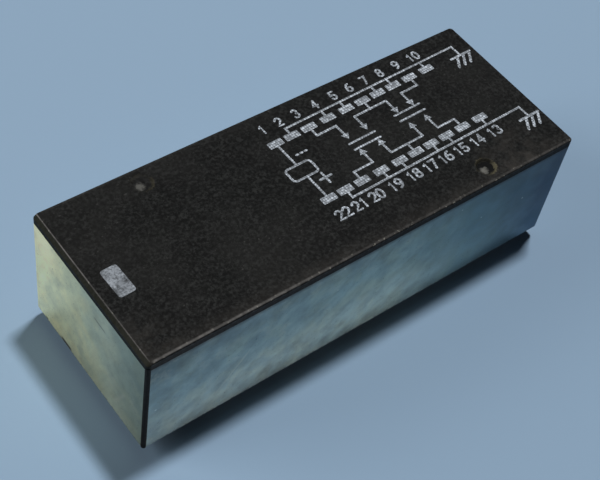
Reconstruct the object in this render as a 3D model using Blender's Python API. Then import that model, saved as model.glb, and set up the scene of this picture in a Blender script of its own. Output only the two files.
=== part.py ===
"""A sealed two-pole relay for circuit boards, with its case, shield, coil, polarised armature and contacts.

Lengths are in metres and +Z is up. The origin lies in the plane of the pin tips, at the middle of the body.
+X runs from the coil pins to the free end, and -Y is the side of pins 1 to 10.
The armature and the two contact carriers stand in their resting places, with the coil off.
"""

import math

import bmesh
import bpy

MM = 0.001

# Pins and body
PITCH = 2.54 * MM
ROW_SPACING = 10.16 * MM
END_MARGIN = 4.8 * MM
ROW_MARGIN = 1.47 * MM
PIN_REACH = 1.05 * MM
PIN_WIDTH = 0.6 * MM
SHEET = 0.25 * MM
PIN_TIP_TAPER = 0.15 * MM
PIN_TIP_LENGTH = 0.3 * MM
COLUMNS = 11
SIGNAL_COLUMNS = (3, 6, 9)
GROUND_COLUMNS = (2, 4, 5, 7, 8, 10)
COIL_COLUMN = 1

# Case
WALL = 0.9 * MM
ROOF = 0.9 * MM
LEDGE = 0.12 * MM
LIP_HEIGHT = 0.62 * MM
SEAM_REACH = 0.24 * MM
POST_ROUNDING = 0.2 * MM
CORNER_RADIUS = 0.25 * MM
EDGE_ROUNDING = 0.12 * MM
CHAMFER_RUN = 0.24 * MM
CHAMFER_DROP = 0.2 * MM
CAVITY_RADIUS = 0.4 * MM
GATE_MARK_END_MARGIN = 7.2 * MM
GATE_MARK_SIDE_MARGIN = 1.31 * MM
GATE_MARK_RADIUS = 0.72 * MM
GATE_MARK_SLOPE = 0.12 * MM
GATE_MARK_DEPTHS = {"left": 0.05 * MM, "right": 0.14 * MM}
GATE_NUB_RADIUS = 0.18 * MM

# Shield
SHIELD_SHEET = 0.15 * MM
SHIELD_BOTTOM_GAP = 0.08 * MM

# Clearances
SEAT_GAP = 0.02 * MM
FIT_GAP = 0.03 * MM
RUNNING_GAP = 0.05 * MM

# Base and sealing
RESIN_RECESS = 0.1 * MM
RESIN_THICKNESS = 0.7 * MM
BASE_THICKNESS = 1.2 * MM
FOOT_DROP = 0.3 * MM
FOOT_LENGTH = 1.6 * MM
FOOT_WIDTH = 1.4 * MM
FOOT_END_MARGIN = 1.5 * MM
FOOT_SIDE_MARGIN = 1.35 * MM
HUB_RADIUS = 1.1 * MM
BORE_FLOOR = 0.35 * MM
RIB_WIDTH = 0.4 * MM
RIB_HEIGHT = 0.55 * MM
RIB_HALF_LENGTH = 3.0 * MM

# Fixed contacts
BLADE_WIDTH = 1.3 * MM
BLADE_TOP_MARGIN = 0.35 * MM
CONTACT_RIDGE = 0.12 * MM
RIDGE_LENGTH = 1.1 * MM
GROUND_END = 0.5 * MM
GROUND_NOTCH_GAP = 0.15 * MM
GROUND_WALL_HEIGHT = 2.0 * MM
GROUND_BEND = 0.3 * MM

# Contact carriers and their bars
CARD_THICKNESS = 0.8 * MM
CARD_HALF_WIDTH = 1.1 * MM
POST_LIFT = 0.08 * MM
POST_INSIDE = 0.35 * MM
POST_OUTSIDE = 0.2 * MM
POST_ABOVE_BAR = 0.3 * MM
BAR_SHEET = 0.12 * MM
BAR_HEIGHT = 0.7 * MM
BAR_ABOVE_CARD = 0.04 * MM
BAR_GRIP_GAP = 0.015 * MM
BAR_END_GAP = 0.25 * MM
BAR_SLIT_WIDTH = 0.16 * MM
BAR_SLIT_LENGTH = 1.5 * MM
BAR_ROUNDING = 0.1 * MM
CLOSED_GAP = 0.02 * MM

# Armature
HALF_SWING = math.radians(3.0)
HOLDER_ABOVE_CARD = 0.1 * MM
HOLDER_FLOOR = 0.28 * MM
HOLDER_ROOF = 0.26 * MM
HOLDER_PAST_PEG = 0.69 * MM
HOLDER_END_WEB = 1.5 * MM
HOLDER_SIDE = 0.5 * MM
HOLDER_ROUNDING = 0.3 * MM
HOLDER_HUB_RADIUS = 0.8 * MM
IRON_HEIGHT = 1.2 * MM
IRON_SHEET = 0.6 * MM
IRON_OVERHANG = 0.5 * MM
IRON_CHAMFER = 0.25 * MM
DRIVE_PIN_RADIUS = 0.4 * MM
DRIVE_SLOT_END_GAP = 0.12 * MM
PIVOT_RADIUS = 0.4 * MM
PIVOT_HEAD_RADIUS = 0.68 * MM
PIVOT_HEAD_HEIGHT = 0.17 * MM
POLE_GAP = 0.03 * MM

# Coil and core
COIL_ROOF_GAP = 0.1 * MM
COIL_ARMATURE_GAP = 0.18 * MM
CORE_THICKNESS = 1.0 * MM
CORE_HALF_WIDTH = 1.8 * MM
CORE_BEND = 0.7 * MM
LEG_THICKNESS = 0.9 * MM
POLE_HALF_WIDTH = 0.6 * MM
POLE_NECK = 0.35 * MM
POLE_SHOULDER = 0.7 * MM
TUBE_WALL = 0.35 * MM
WINDING_BUILD = 0.94 * MM
FLANGE_INSET = 0.1 * MM
FLANGE_THICKNESS = 0.7 * MM
FLANGE_OVERHANG = 0.35 * MM
FLANGE_ROUNDING = 0.5 * MM
LEG_COVER = 0.4 * MM
END_BLOCK_WALL = 1.08 * MM
END_BLOCK_GAP = 0.2 * MM
BOBBIN_FOOT_GAP = 0.3 * MM
EAR_HEIGHT = 0.9 * MM
EAR_LENGTH = 1.3 * MM
EAR_REACH = 0.4 * MM
EAR_ROOT = 0.3 * MM
WINDING_ROUNDING = 1.2 * MM
WINDING_CROWN = 0.06 * MM
WINDING_RINGS = 5
COIL_PIN_SHOULDER = 0.9 * MM
COIL_PIN_SHOULDER_HEIGHT = 0.5 * MM
COIL_PIN_ABOVE_EAR = 0.8 * MM
LEAD_DIAMETER = 0.08 * MM
LEAD_WRAP_GAP = 0.11 * MM
LEAD_TURNS = 3
LEAD_RISE = 0.16 * MM
LEAD_START_HEIGHT = 0.12 * MM
LEAD_SLACK = 0.3 * MM

# Roundness
ARC_STEPS = 5
CIRCLE_STEPS = 24
WRAP_STEPS = 16
PAST = 1.0 * MM
BITE = 0.3 * MM

# Body, worked out from the pin grid
HALF_LENGTH = (COLUMNS - 1) * PITCH / 2 + END_MARGIN
HALF_WIDTH = ROW_SPACING / 2 + ROW_MARGIN
SHIELD_RECESS = SHIELD_SHEET + SEAT_GAP
INNER_X = HALF_LENGTH - WALL
INNER_Y = HALF_WIDTH - WALL
ROW_Y = ROW_SPACING / 2

# Heights, counted up from the pin tips to the top, which lies 9.55 mm above the rim
RIM_Z = PIN_REACH
RESIN_Z = RIM_Z + RESIN_RECESS
BASE_Z = RESIN_Z + RESIN_THICKNESS + SEAT_GAP
BASE_TOP_Z = BASE_Z + BASE_THICKNESS
FLOOR_Z = BASE_TOP_Z + SEAT_GAP
GROUND_TOP_Z = FLOOR_Z + SHEET
CARD_Z = BASE_TOP_Z + RUNNING_GAP
CARD_TOP_Z = CARD_Z + CARD_THICKNESS
BAR_Z = CARD_TOP_Z + BAR_ABOVE_CARD
BAR_TOP_Z = BAR_Z + BAR_HEIGHT
CONTACT_Z = (BAR_Z + BAR_TOP_Z) / 2
HOLDER_Z = CARD_TOP_Z + HOLDER_ABOVE_CARD
IRON_Z = HOLDER_Z + HOLDER_FLOOR + SEAT_GAP
IRON_TOP_Z = IRON_Z + IRON_HEIGHT
HOLDER_TOP_Z = IRON_TOP_Z + SEAT_GAP + HOLDER_ROOF
WINDING_Z = HOLDER_TOP_Z + COIL_ARMATURE_GAP
TUBE_HALF_HEIGHT = CORE_THICKNESS / 2 + SEAT_GAP + TUBE_WALL
COIL_MID_Z = WINDING_Z + WINDING_BUILD + TUBE_HALF_HEIGHT
WINDING_TOP_Z = COIL_MID_Z + TUBE_HALF_HEIGHT + WINDING_BUILD
CEILING_Z = WINDING_TOP_Z + COIL_ROOF_GAP
TOP_Z = CEILING_Z + ROOF
LIP_Z = TOP_Z - LIP_HEIGHT

# Places along the body
COIL_PIN_X = (COIL_COLUMN - (COLUMNS + 1) / 2) * PITCH
FLANGE_X = -COIL_PIN_X - FLANGE_INSET
FLANGE_END_X = FLANGE_X + FLANGE_THICKNESS
LEG_X = FLANGE_END_X + LEG_COVER
LEG_END_X = LEG_X + LEG_THICKNESS
IRON_HALF_LENGTH = LEG_END_X + IRON_OVERHANG
BOBBIN_FOOT_X = IRON_HALF_LENGTH + BOBBIN_FOOT_GAP
BOBBIN_END_X = INNER_X - END_BLOCK_GAP
CARD_X = 1.5 * PITCH
BAR_HALF_LENGTH = CARD_X - BAR_END_GAP
HOLDER_HALF_LENGTH = CARD_X + HOLDER_PAST_PEG
MAGNET_HALF_LENGTH = HOLDER_HALF_LENGTH - HOLDER_END_WEB

# Places across the body
HALF_TRAVEL = CARD_X * math.sin(HALF_SWING)
CONTACT_Y = ROW_Y - SHEET / 2 - CONTACT_RIDGE
BAR_OUT_Y = CONTACT_Y - CLOSED_GAP - HALF_TRAVEL
BAR_IN_Y = BAR_OUT_Y - BAR_SHEET
IRON_IN_Y = POLE_HALF_WIDTH * math.cos(HALF_SWING) + LEG_END_X * math.sin(HALF_SWING) + POLE_GAP
IRON_OUT_Y = IRON_IN_Y + IRON_SHEET
TUBE_HALF_WIDTH = CORE_HALF_WIDTH + SEAT_GAP + TUBE_WALL
END_BLOCK_HALF_WIDTH = CORE_HALF_WIDTH + SEAT_GAP + END_BLOCK_WALL
WINDING_HALF_WIDTH = TUBE_HALF_WIDTH + WINDING_BUILD


def column_x(column):
    """The place along the body of a pin column, with column 6 in the middle."""
    return (column - (COLUMNS + 1) / 2) * PITCH


def arc(centre_u, centre_v, radius, start, end, steps=ARC_STEPS):
    """Points on a circle from one angle to another, in degrees, both ends included."""
    angles = [math.radians(start + (end - start) * i / steps) for i in range(steps + 1)]
    return [(centre_u + radius * math.cos(a), centre_v + radius * math.sin(a)) for a in angles]


def circle(centre_u, centre_v, radius, steps=CIRCLE_STEPS):
    """A closed round outline."""
    return arc(centre_u, centre_v, radius, 0.0, 360.0, steps)[:-1]


def rectangle(u_min, u_max, v_min, v_max):
    """A square-cornered outline."""
    return [(u_min, v_min), (u_max, v_min), (u_max, v_max), (u_min, v_max)]


def rounded(u_min, u_max, v_min, v_max, radius, steps=ARC_STEPS):
    """A rectangle whose four corners are arcs."""
    outline = arc(u_max - radius, v_min + radius, radius, -90, 0, steps)
    outline += arc(u_max - radius, v_max - radius, radius, 0, 90, steps)
    outline += arc(u_min + radius, v_max - radius, radius, 90, 180, steps)
    outline += arc(u_min + radius, v_min + radius, radius, 180, 270, steps)
    return outline


def placed(u, v, height, along):
    """A point of an outline, at a height along the axis that it is pulled along."""
    return {"x": (height, u, v), "y": (u, height, v), "z": (u, v, height)}[along]


def add_loft(shape, rings):
    """Skin a closed solid over rings that have equal numbers of points."""
    rows = [[shape.verts.new(point) for point in ring] for ring in rings]
    count = len(rows[0])
    for low, high in zip(rows, rows[1:]):
        for i in range(count):
            j = (i + 1) % count
            shape.faces.new((low[i], low[j], high[j], high[i]))
    shape.faces.new(rows[0][::-1])
    shape.faces.new(rows[-1])


def add_prism(shape, outline, low, high, along="z"):
    """Pull an outline from one height to another along an axis."""
    add_loft(shape, [[placed(u, v, height, along) for u, v in outline] for height in (low, high)])


def add_turned(shape, profile, centre_x=0.0, centre_y=0.0, steps=CIRCLE_STEPS):
    """Turn a profile of radius and height pairs about an upright axis."""
    rings = [(circle(centre_x, centre_y, radius, steps), height) for radius, height in profile]
    add_loft(shape, [[(u, v, height) for u, v in outline] for outline, height in rings])


def make_material(name, colour, roughness, metallic=0.0):
    """A plain finish in the piece's own colour."""
    made = bpy.data.materials.new(name)
    made.use_nodes = True
    shader = made.node_tree.nodes["Principled BSDF"]
    shader.inputs["Base Color"].default_value = (*colour, 1.0)
    shader.inputs["Roughness"].default_value = roughness
    shader.inputs["Metallic"].default_value = metallic
    return made


def make_object(name, shape, finish=None, parent=None, smooth=False):
    """Turn a finished shape into an object of the scene."""
    bmesh.ops.recalc_face_normals(shape, faces=shape.faces)
    mesh = bpy.data.meshes.new(name)
    shape.to_mesh(mesh)
    shape.free()
    if smooth:
        mesh.shade_smooth()
        mesh.set_sharp_from_angle(angle=math.radians(35))
    if finish:
        mesh.materials.append(finish)
    made = bpy.data.objects.new(name, mesh)
    bpy.context.scene.collection.objects.link(made)
    made.parent = parent
    return made


def combine(target, shape, operation, label):
    """Join a shape to an object, or cut it out, with a hidden tool that has the object's own frame."""
    tool = make_object(f"{target.name}_{label}", shape, parent=target.parent)
    tool.hide_render = True
    tool.display_type = "WIRE"
    step = target.modifiers.new(label, "BOOLEAN")
    step.operation = operation
    step.solver = "EXACT"
    step.object = tool


def cut(target, shape, label):
    """Take a shape out of an object."""
    combine(target, shape, "DIFFERENCE", label)


def join(target, shape, label):
    """Add a shape to an object."""
    combine(target, shape, "UNION", label)


def add_empty(name, location, turn=0.0):
    """A joint's frame: an empty on the axis that its pieces move about or along."""
    made = bpy.data.objects.new(name, None)
    made.location = location
    made.rotation_euler = (0.0, 0.0, turn)
    bpy.context.scene.collection.objects.link(made)
    return made


# Case and shield

def seamed_outline():
    """The case below its lip, set back for the shield, with a post that fills the shield's open corner."""
    back_x = HALF_LENGTH - SHIELD_RECESS
    back_y = HALF_WIDTH - SHIELD_RECESS
    radius = CORNER_RADIUS - SHIELD_RECESS
    post_x = -HALF_LENGTH + SEAM_REACH
    post_y = -HALF_WIDTH + SEAM_REACH
    outline = [(post_x, -HALF_WIDTH), (post_x, -back_y)]
    outline += arc(back_x - radius, -back_y + radius, radius, -90, 0)
    outline += arc(back_x - radius, back_y - radius, radius, 0, 90)
    outline += arc(-back_x + radius, back_y - radius, radius, 90, 180)
    outline += [(-back_x, post_y), (-HALF_LENGTH, post_y)]
    outline += arc(-HALF_LENGTH + POST_ROUNDING, -HALF_WIDTH + POST_ROUNDING, POST_ROUNDING, 180, 270)
    return outline


def lip_ring(height):
    """The case's outline at a height on its lip: the left end leans in as a chamfer, the rest rounds over."""
    chamfer = max(0.0, 1.0 - (TOP_Z - height) / CHAMFER_DROP)
    above_arc = EDGE_ROUNDING - min(TOP_Z - height, EDGE_ROUNDING)
    inset = EDGE_ROUNDING - math.sqrt(max(0.0, EDGE_ROUNDING**2 - above_arc**2))
    x_min = -HALF_LENGTH + CHAMFER_RUN * chamfer
    x_max = HALF_LENGTH - inset
    y_max = HALF_WIDTH - inset
    return [(u, v, height) for u, v in rounded(x_min, x_max, -y_max, y_max, CORNER_RADIUS)]


def lip_heights():
    """The heights of the lip's rings, closer together where the edge rounds over."""
    angles = [math.radians(90 * i / 3) for i in range(4)]
    return [LIP_Z, TOP_Z - CHAMFER_DROP] + [TOP_Z - EDGE_ROUNDING * (1 - math.sin(a)) for a in angles]


def gate_mark_profile(depth):
    """The tool for one moulding mark: a shallow dish with a nub in its middle."""
    nub_z = TOP_Z - depth / 2
    floor_z = TOP_Z - depth
    return [
        (GATE_NUB_RADIUS / 2, nub_z),
        (GATE_NUB_RADIUS, floor_z),
        (GATE_MARK_RADIUS - GATE_MARK_SLOPE, floor_z),
        (GATE_MARK_RADIUS, TOP_Z),
        (GATE_MARK_RADIUS, TOP_Z + BITE),
        (GATE_NUB_RADIUS / 2, TOP_Z + BITE),
    ]


def build_case(finish):
    """The five-sided black moulding that covers the relay."""
    shape = bmesh.new()
    add_loft(shape, [lip_ring(height) for height in lip_heights()])
    case = make_object("case_cover", shape, finish)

    lower = bmesh.new()
    add_prism(lower, seamed_outline(), RIM_Z, LIP_Z + BITE / 2)
    join(case, lower, "walls")

    cavity = bmesh.new()
    add_prism(cavity, rounded(-INNER_X, INNER_X, -INNER_Y, INNER_Y, CAVITY_RADIUS), RIM_Z - PAST, CEILING_Z)
    cut(case, cavity, "cavity")

    pocket = bmesh.new()
    pocket_x = INNER_X + LEDGE
    pocket_y = INNER_Y + LEDGE
    outline = rounded(-pocket_x, pocket_x, -pocket_y, pocket_y, CAVITY_RADIUS)
    add_prism(pocket, outline, RIM_Z - PAST, FLOOR_Z)
    cut(case, pocket, "base_pocket")

    marks = bmesh.new()
    mark_x = HALF_LENGTH - GATE_MARK_END_MARGIN
    mark_y = HALF_WIDTH - GATE_MARK_SIDE_MARGIN
    for side, sign in (("left", -1), ("right", 1)):
        add_turned(marks, gate_mark_profile(GATE_MARK_DEPTHS[side]), sign * mark_x, -sign * mark_y)
    cut(case, marks, "gate_marks")


def shield_outline():
    """The shield from above: one strip folded round three corners, open at the fourth."""
    start_x = -HALF_LENGTH + SEAM_REACH + SEAT_GAP
    end_y = -HALF_WIDTH + SEAM_REACH + SEAT_GAP
    corner_x = HALF_LENGTH - CORNER_RADIUS
    corner_y = HALF_WIDTH - CORNER_RADIUS
    corners = ((corner_x, -corner_y, -90), (corner_x, corner_y, 0), (-corner_x, corner_y, 90))
    outside = [(start_x, -HALF_WIDTH)]
    inside = [(start_x, -HALF_WIDTH + SHIELD_SHEET)]
    for u, v, start in corners:
        outside += arc(u, v, CORNER_RADIUS, start, start + 90)
        inside += arc(u, v, CORNER_RADIUS - SHIELD_SHEET, start, start + 90)
    outside.append((-HALF_LENGTH, end_y))
    inside.append((-HALF_LENGTH + SHIELD_SHEET, end_y))
    return outside + inside[::-1]


def build_shield(finish):
    """The thin metal band let into the case's four sides."""
    shape = bmesh.new()
    add_prism(shape, shield_outline(), RIM_Z + SHIELD_BOTTOM_GAP, LIP_Z - SEAT_GAP)
    make_object("shield_band", shape, finish, smooth=True)


# Base and sealing

def pin_places():
    """The middle of every pin: columns 1 to 10 in both rows."""
    columns = sorted((COIL_COLUMN, *SIGNAL_COLUMNS, *GROUND_COLUMNS))
    return [(column_x(column), side * ROW_Y) for side in (-1, 1) for column in columns]


def foot_places():
    """The middle of each of the base's four feet."""
    x = INNER_X - FOOT_END_MARGIN
    y = INNER_Y - FOOT_SIDE_MARGIN
    return [(sx * x, sy * y) for sx in (-1, 1) for sy in (-1, 1)]


def add_pin_slots(shape, low, high):
    """The holes that the pins pass through."""
    half_width = PIN_WIDTH / 2 + FIT_GAP
    half_sheet = SHEET / 2 + FIT_GAP
    for x, y in pin_places():
        add_prism(shape, rectangle(x - half_width, x + half_width, y - half_sheet, y + half_sheet), low, high)


def add_feet(shape, low, high, margin=0.0):
    """The base's four feet, grown by a margin where they are a tool."""
    half_x = FOOT_LENGTH / 2 + margin
    half_y = FOOT_WIDTH / 2 + margin
    for x, y in foot_places():
        add_prism(shape, rectangle(x - half_x, x + half_x, y - half_y, y + half_y), low, high)


def build_base(finish):
    """The moulded floor that holds the pins, the pivot and the carriers' guides."""
    half_x = INNER_X + LEDGE - FIT_GAP
    half_y = INNER_Y + LEDGE - FIT_GAP
    shape = bmesh.new()
    outline = rounded(-half_x, half_x, -half_y, half_y, CAVITY_RADIUS - FIT_GAP)
    add_prism(shape, outline, BASE_Z, BASE_TOP_Z)
    base = make_object("base_plate", shape, finish)

    raised = bmesh.new()
    add_prism(raised, circle(0.0, 0.0, HUB_RADIUS), BASE_TOP_Z - BITE, HOLDER_Z - RUNNING_GAP)
    rib_in = CARD_HALF_WIDTH + RUNNING_GAP
    for card_x in (-CARD_X, CARD_X):
        for side in (-1, 1):
            edges = sorted((card_x + side * rib_in, card_x + side * (rib_in + RIB_WIDTH)))
            outline = rectangle(*edges, -RIB_HALF_LENGTH, RIB_HALF_LENGTH)
            add_prism(raised, outline, BASE_TOP_Z - BITE, BASE_TOP_Z + RIB_HEIGHT)
    join(base, raised, "hub_and_ribs")

    feet = bmesh.new()
    add_feet(feet, RIM_Z - FOOT_DROP, BASE_Z + BITE)
    join(base, feet, "feet")

    holes = bmesh.new()
    add_pin_slots(holes, BASE_Z - PAST, BASE_TOP_Z + PAST)
    add_prism(holes, circle(0.0, 0.0, PIVOT_RADIUS + SEAT_GAP), BASE_Z + BORE_FLOOR, HOLDER_Z + PAST)
    cut(base, holes, "holes")


def build_resin(finish):
    """The sealing poured over the base's underside, round the pins and feet."""
    half_x = INNER_X + LEDGE - SEAT_GAP
    half_y = INNER_Y + LEDGE - SEAT_GAP
    shape = bmesh.new()
    outline = rounded(-half_x, half_x, -half_y, half_y, CAVITY_RADIUS - SEAT_GAP)
    add_prism(shape, outline, RESIN_Z, RESIN_Z + RESIN_THICKNESS)
    resin = make_object("sealing_resin", shape, finish)
    holes = bmesh.new()
    add_pin_slots(holes, RESIN_Z - PAST, BASE_Z + PAST)
    add_feet(holes, RESIN_Z - PAST, BASE_Z + PAST, SEAT_GAP)
    cut(resin, holes, "holes")


# Terminals

def pin_tip(half_width):
    """The lower end of a pin seen from the front, from its left edge to its right."""
    narrow = half_width - PIN_TIP_TAPER
    return [(-half_width, PIN_TIP_LENGTH), (-narrow, 0.0), (narrow, 0.0), (half_width, PIN_TIP_LENGTH)]


def shifted(outline, distance):
    """An outline moved along its first axis."""
    return [(u + distance, v) for u, v in outline]


def build_signal_terminal(number, column, side, finish):
    """A pin whose upper end is a blade with a rounded contact ridge on its inner face."""
    top_z = BAR_TOP_Z + BLADE_TOP_MARGIN
    half_blade = BLADE_WIDTH / 2
    outline = pin_tip(PIN_WIDTH / 2)
    outline.append((PIN_WIDTH / 2, FLOOR_Z))
    outline += rounded(-half_blade, half_blade, FLOOR_Z, top_z, BAR_ROUNDING, 2)
    outline.append((-PIN_WIDTH / 2, FLOOR_Z))
    x = column_x(column)
    shape = bmesh.new()
    inner = side * (ROW_Y - SHEET / 2)
    outer = side * (ROW_Y + SHEET / 2)
    add_prism(shape, shifted(outline, x), inner, outer, "y")
    terminal = make_object(f"signal_terminal_{number}", shape, finish)

    ridge = bmesh.new()
    curve = arc(0.0, 0.0, CONTACT_RIDGE, -90, 90, 8)
    points = [(inner - side * u, CONTACT_Z + v) for u, v in curve]
    for end_z in (CONTACT_Z + CONTACT_RIDGE, CONTACT_Z - CONTACT_RIDGE):
        points.append((side * ROW_Y, end_z))
    add_prism(ridge, points, x - RIDGE_LENGTH / 2, x + RIDGE_LENGTH / 2, "x")
    join(terminal, ridge, "contact_ridge")


def build_coil_terminal(number, side, finish):
    """A pin that rises through the bobbin's ear, where the coil's wire is wrapped round it."""
    half = PIN_WIDTH / 2
    shoulder = COIL_PIN_SHOULDER / 2
    shoulder_z = FLOOR_Z + COIL_PIN_SHOULDER_HEIGHT
    top_z = WINDING_Z + EAR_HEIGHT + COIL_PIN_ABOVE_EAR
    outline = pin_tip(half)
    right = [(half, FLOOR_Z), (shoulder, FLOOR_Z), (shoulder, shoulder_z), (half, shoulder_z), (half, top_z)]
    outline += right + [(-u, v) for u, v in reversed(right)]
    shape = bmesh.new()
    faces = (side * (ROW_Y - SHEET / 2), side * (ROW_Y + SHEET / 2))
    add_prism(shape, shifted(outline, COIL_PIN_X), *faces, "y")
    make_object(f"coil_terminal_{number}", shape, finish)


def build_ground_frame(name, side, finish):
    """One stamped and bent sheet: six pins, a flange on the base and a screen behind the contacts."""
    inner = ROW_Y - SHEET / 2
    outer = INNER_Y - 2 * SEAT_GAP
    wall_z = FLOOR_Z + GROUND_WALL_HEIGHT
    start_x = column_x(GROUND_COLUMNS[0]) - GROUND_END
    end_x = column_x(GROUND_COLUMNS[-1]) + GROUND_END
    profile = [(inner, FLOOR_Z)]
    profile += arc(outer - GROUND_BEND, FLOOR_Z + GROUND_BEND, GROUND_BEND, -90, 0)
    profile += [(outer, wall_z), (outer - SHEET, wall_z)]
    profile += [(outer - SHEET, GROUND_TOP_Z), (inner, GROUND_TOP_Z)]
    shape = bmesh.new()
    add_prism(shape, [(side * u, v) for u, v in profile], start_x, end_x, "x")
    frame = make_object(name, shape, finish)

    pins = bmesh.new()
    for column in GROUND_COLUMNS:
        outline = pin_tip(PIN_WIDTH / 2)
        outline += [(PIN_WIDTH / 2, FLOOR_Z + SHEET / 2), (-PIN_WIDTH / 2, FLOOR_Z + SHEET / 2)]
        faces = (side * inner, side * (inner + SHEET))
        add_prism(pins, shifted(outline, column_x(column)), *faces, "y")
    join(frame, pins, "pins")

    notches = bmesh.new()
    half_notch = BLADE_WIDTH / 2 + GROUND_NOTCH_GAP
    for column in SIGNAL_COLUMNS:
        x = column_x(column)
        depth = sorted((side * (inner - PAST), side * (inner + SHEET + FIT_GAP)))
        outline = rectangle(x - half_notch, x + half_notch, *depth)
        add_prism(notches, outline, FLOOR_Z - PAST, GROUND_TOP_Z + PAST)
    cut(frame, notches, "notches")


# Coil and core

def core_outline(grow=0.0):
    """The core seen from the front: a bar whose ends are bent down as legs, grown where it is a tool."""
    end_x = LEG_END_X + grow
    leg_x = LEG_X - grow
    top_z = COIL_MID_Z + CORE_THICKNESS / 2 + grow
    under_z = COIL_MID_Z - CORE_THICKNESS / 2 - grow
    foot_z = IRON_Z - grow
    bend = CORE_BEND + grow
    outline = [(-end_x, foot_z), (-leg_x, foot_z), (-leg_x, under_z), (leg_x, under_z), (leg_x, foot_z)]
    outline += [(end_x, foot_z)]
    outline += arc(end_x - bend, top_z - bend, bend, 0, 90)
    outline += arc(-end_x + bend, top_z - bend, bend, 90, 180)
    return outline


def build_core(finish):
    """The soft iron core, whose legs narrow to the pole tips between the armature's plates."""
    shape = bmesh.new()
    add_prism(shape, core_outline(), -CORE_HALF_WIDTH, CORE_HALF_WIDTH, "y")
    core = make_object("iron_core", shape, finish)
    sides = bmesh.new()
    neck_z = IRON_TOP_Z + POLE_NECK
    past_y = CORE_HALF_WIDTH + PAST
    profile = [
        (POLE_HALF_WIDTH, IRON_Z - PAST),
        (past_y, IRON_Z - PAST),
        (past_y, neck_z + POLE_SHOULDER),
        (CORE_HALF_WIDTH, neck_z + POLE_SHOULDER),
        (POLE_HALF_WIDTH, neck_z),
    ]
    for outline in (profile, [(-u, v) for u, v in profile]):
        add_prism(sides, outline, -LEG_END_X - PAST, LEG_END_X + PAST, "x")
    cut(core, sides, "pole_tips")


def build_bobbin(finish):
    """The coil's moulding: a tube with two flanges, end blocks with feet, and ears for the coil pins."""
    flange_y = WINDING_HALF_WIDTH + FLANGE_OVERHANG
    flange_z = WINDING_Z - SEAT_GAP
    flange_top_z = CEILING_Z - RUNNING_GAP
    shape = bmesh.new()
    tube = (-TUBE_HALF_WIDTH, TUBE_HALF_WIDTH, COIL_MID_Z - TUBE_HALF_HEIGHT, COIL_MID_Z + TUBE_HALF_HEIGHT)
    add_prism(shape, rectangle(*tube), -FLANGE_END_X, FLANGE_END_X, "x")
    bobbin = make_object("coil_bobbin", shape, finish)

    flanges = bmesh.new()
    outline = rounded(-flange_y, flange_y, flange_z, flange_top_z, FLANGE_ROUNDING)
    for side in (-1, 1):
        edges = sorted((side * FLANGE_X, side * FLANGE_END_X))
        add_prism(flanges, outline, *edges, "x")
    join(bobbin, flanges, "flanges")

    blocks = bmesh.new()
    for side in (-1, 1):
        start_x = side * (FLANGE_END_X - FLANGE_THICKNESS / 2)
        outline = [
            (start_x, flange_z),
            (side * BOBBIN_FOOT_X, flange_z),
            (side * BOBBIN_FOOT_X, FLOOR_Z),
            (side * BOBBIN_END_X, FLOOR_Z),
            (side * BOBBIN_END_X, flange_top_z),
            (start_x, flange_top_z),
        ]
        add_prism(blocks, outline, -END_BLOCK_HALF_WIDTH, END_BLOCK_HALF_WIDTH, "y")
    join(bobbin, blocks, "end_blocks")

    ears = bmesh.new()
    start_x = COIL_PIN_X - EAR_LENGTH / 2
    end_x = COIL_PIN_X + EAR_LENGTH / 2
    clear_y = WINDING_HALF_WIDTH + 2 * RUNNING_GAP
    for side in (-1, 1):
        outline = [
            (start_x, side * (END_BLOCK_HALF_WIDTH - EAR_ROOT)),
            (-FLANGE_X - RUNNING_GAP, side * (END_BLOCK_HALF_WIDTH - EAR_ROOT)),
            (-FLANGE_X - RUNNING_GAP, side * clear_y),
            (end_x, side * clear_y),
            (end_x, side * (ROW_Y + EAR_REACH)),
            (start_x, side * (ROW_Y + EAR_REACH)),
        ]
        add_prism(ears, outline, WINDING_Z - 2 * SEAT_GAP, WINDING_Z + EAR_HEIGHT)
    join(bobbin, ears, "ears")

    channel = bmesh.new()
    half_width = CORE_HALF_WIDTH + SEAT_GAP
    add_prism(channel, core_outline(SEAT_GAP), -half_width, half_width, "y")
    cut(bobbin, channel, "core_channel")

    slots = bmesh.new()
    half_x = PIN_WIDTH / 2 + FIT_GAP
    for side in (-1, 1):
        edges = sorted((side * (ROW_Y - SHEET / 2 - FIT_GAP), side * (ROW_Y + SHEET / 2 + FIT_GAP)))
        outline = rectangle(COIL_PIN_X - half_x, COIL_PIN_X + half_x, *edges)
        add_prism(slots, outline, WINDING_Z - PAST, WINDING_Z + EAR_HEIGHT + PAST)
    cut(bobbin, slots, "pin_slots")


def build_winding(finish):
    """The enamelled wire wound on the bobbin, as one soft-edged sleeve that swells a little in the middle."""
    end_x = FLANGE_X - SEAT_GAP
    shape = bmesh.new()
    rings = []
    for i in range(WINDING_RINGS):
        share = 2 * i / (WINDING_RINGS - 1) - 1
        inset = WINDING_CROWN * share**2
        half_y = WINDING_HALF_WIDTH - inset
        outline = rounded(-half_y, half_y, WINDING_Z + inset, WINDING_TOP_Z - inset, WINDING_ROUNDING)
        rings.append([(share * end_x, u, v) for u, v in outline])
    add_loft(shape, rings)
    winding = make_object("coil_winding", shape, finish, smooth=True)
    tube = bmesh.new()
    half_y = TUBE_HALF_WIDTH + SEAT_GAP
    half_z = TUBE_HALF_HEIGHT + SEAT_GAP
    outline = rectangle(-half_y, half_y, COIL_MID_Z - half_z, COIL_MID_Z + half_z)
    add_prism(tube, outline, -end_x - PAST, end_x + PAST, "x")
    cut(winding, tube, "tube")


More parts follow.
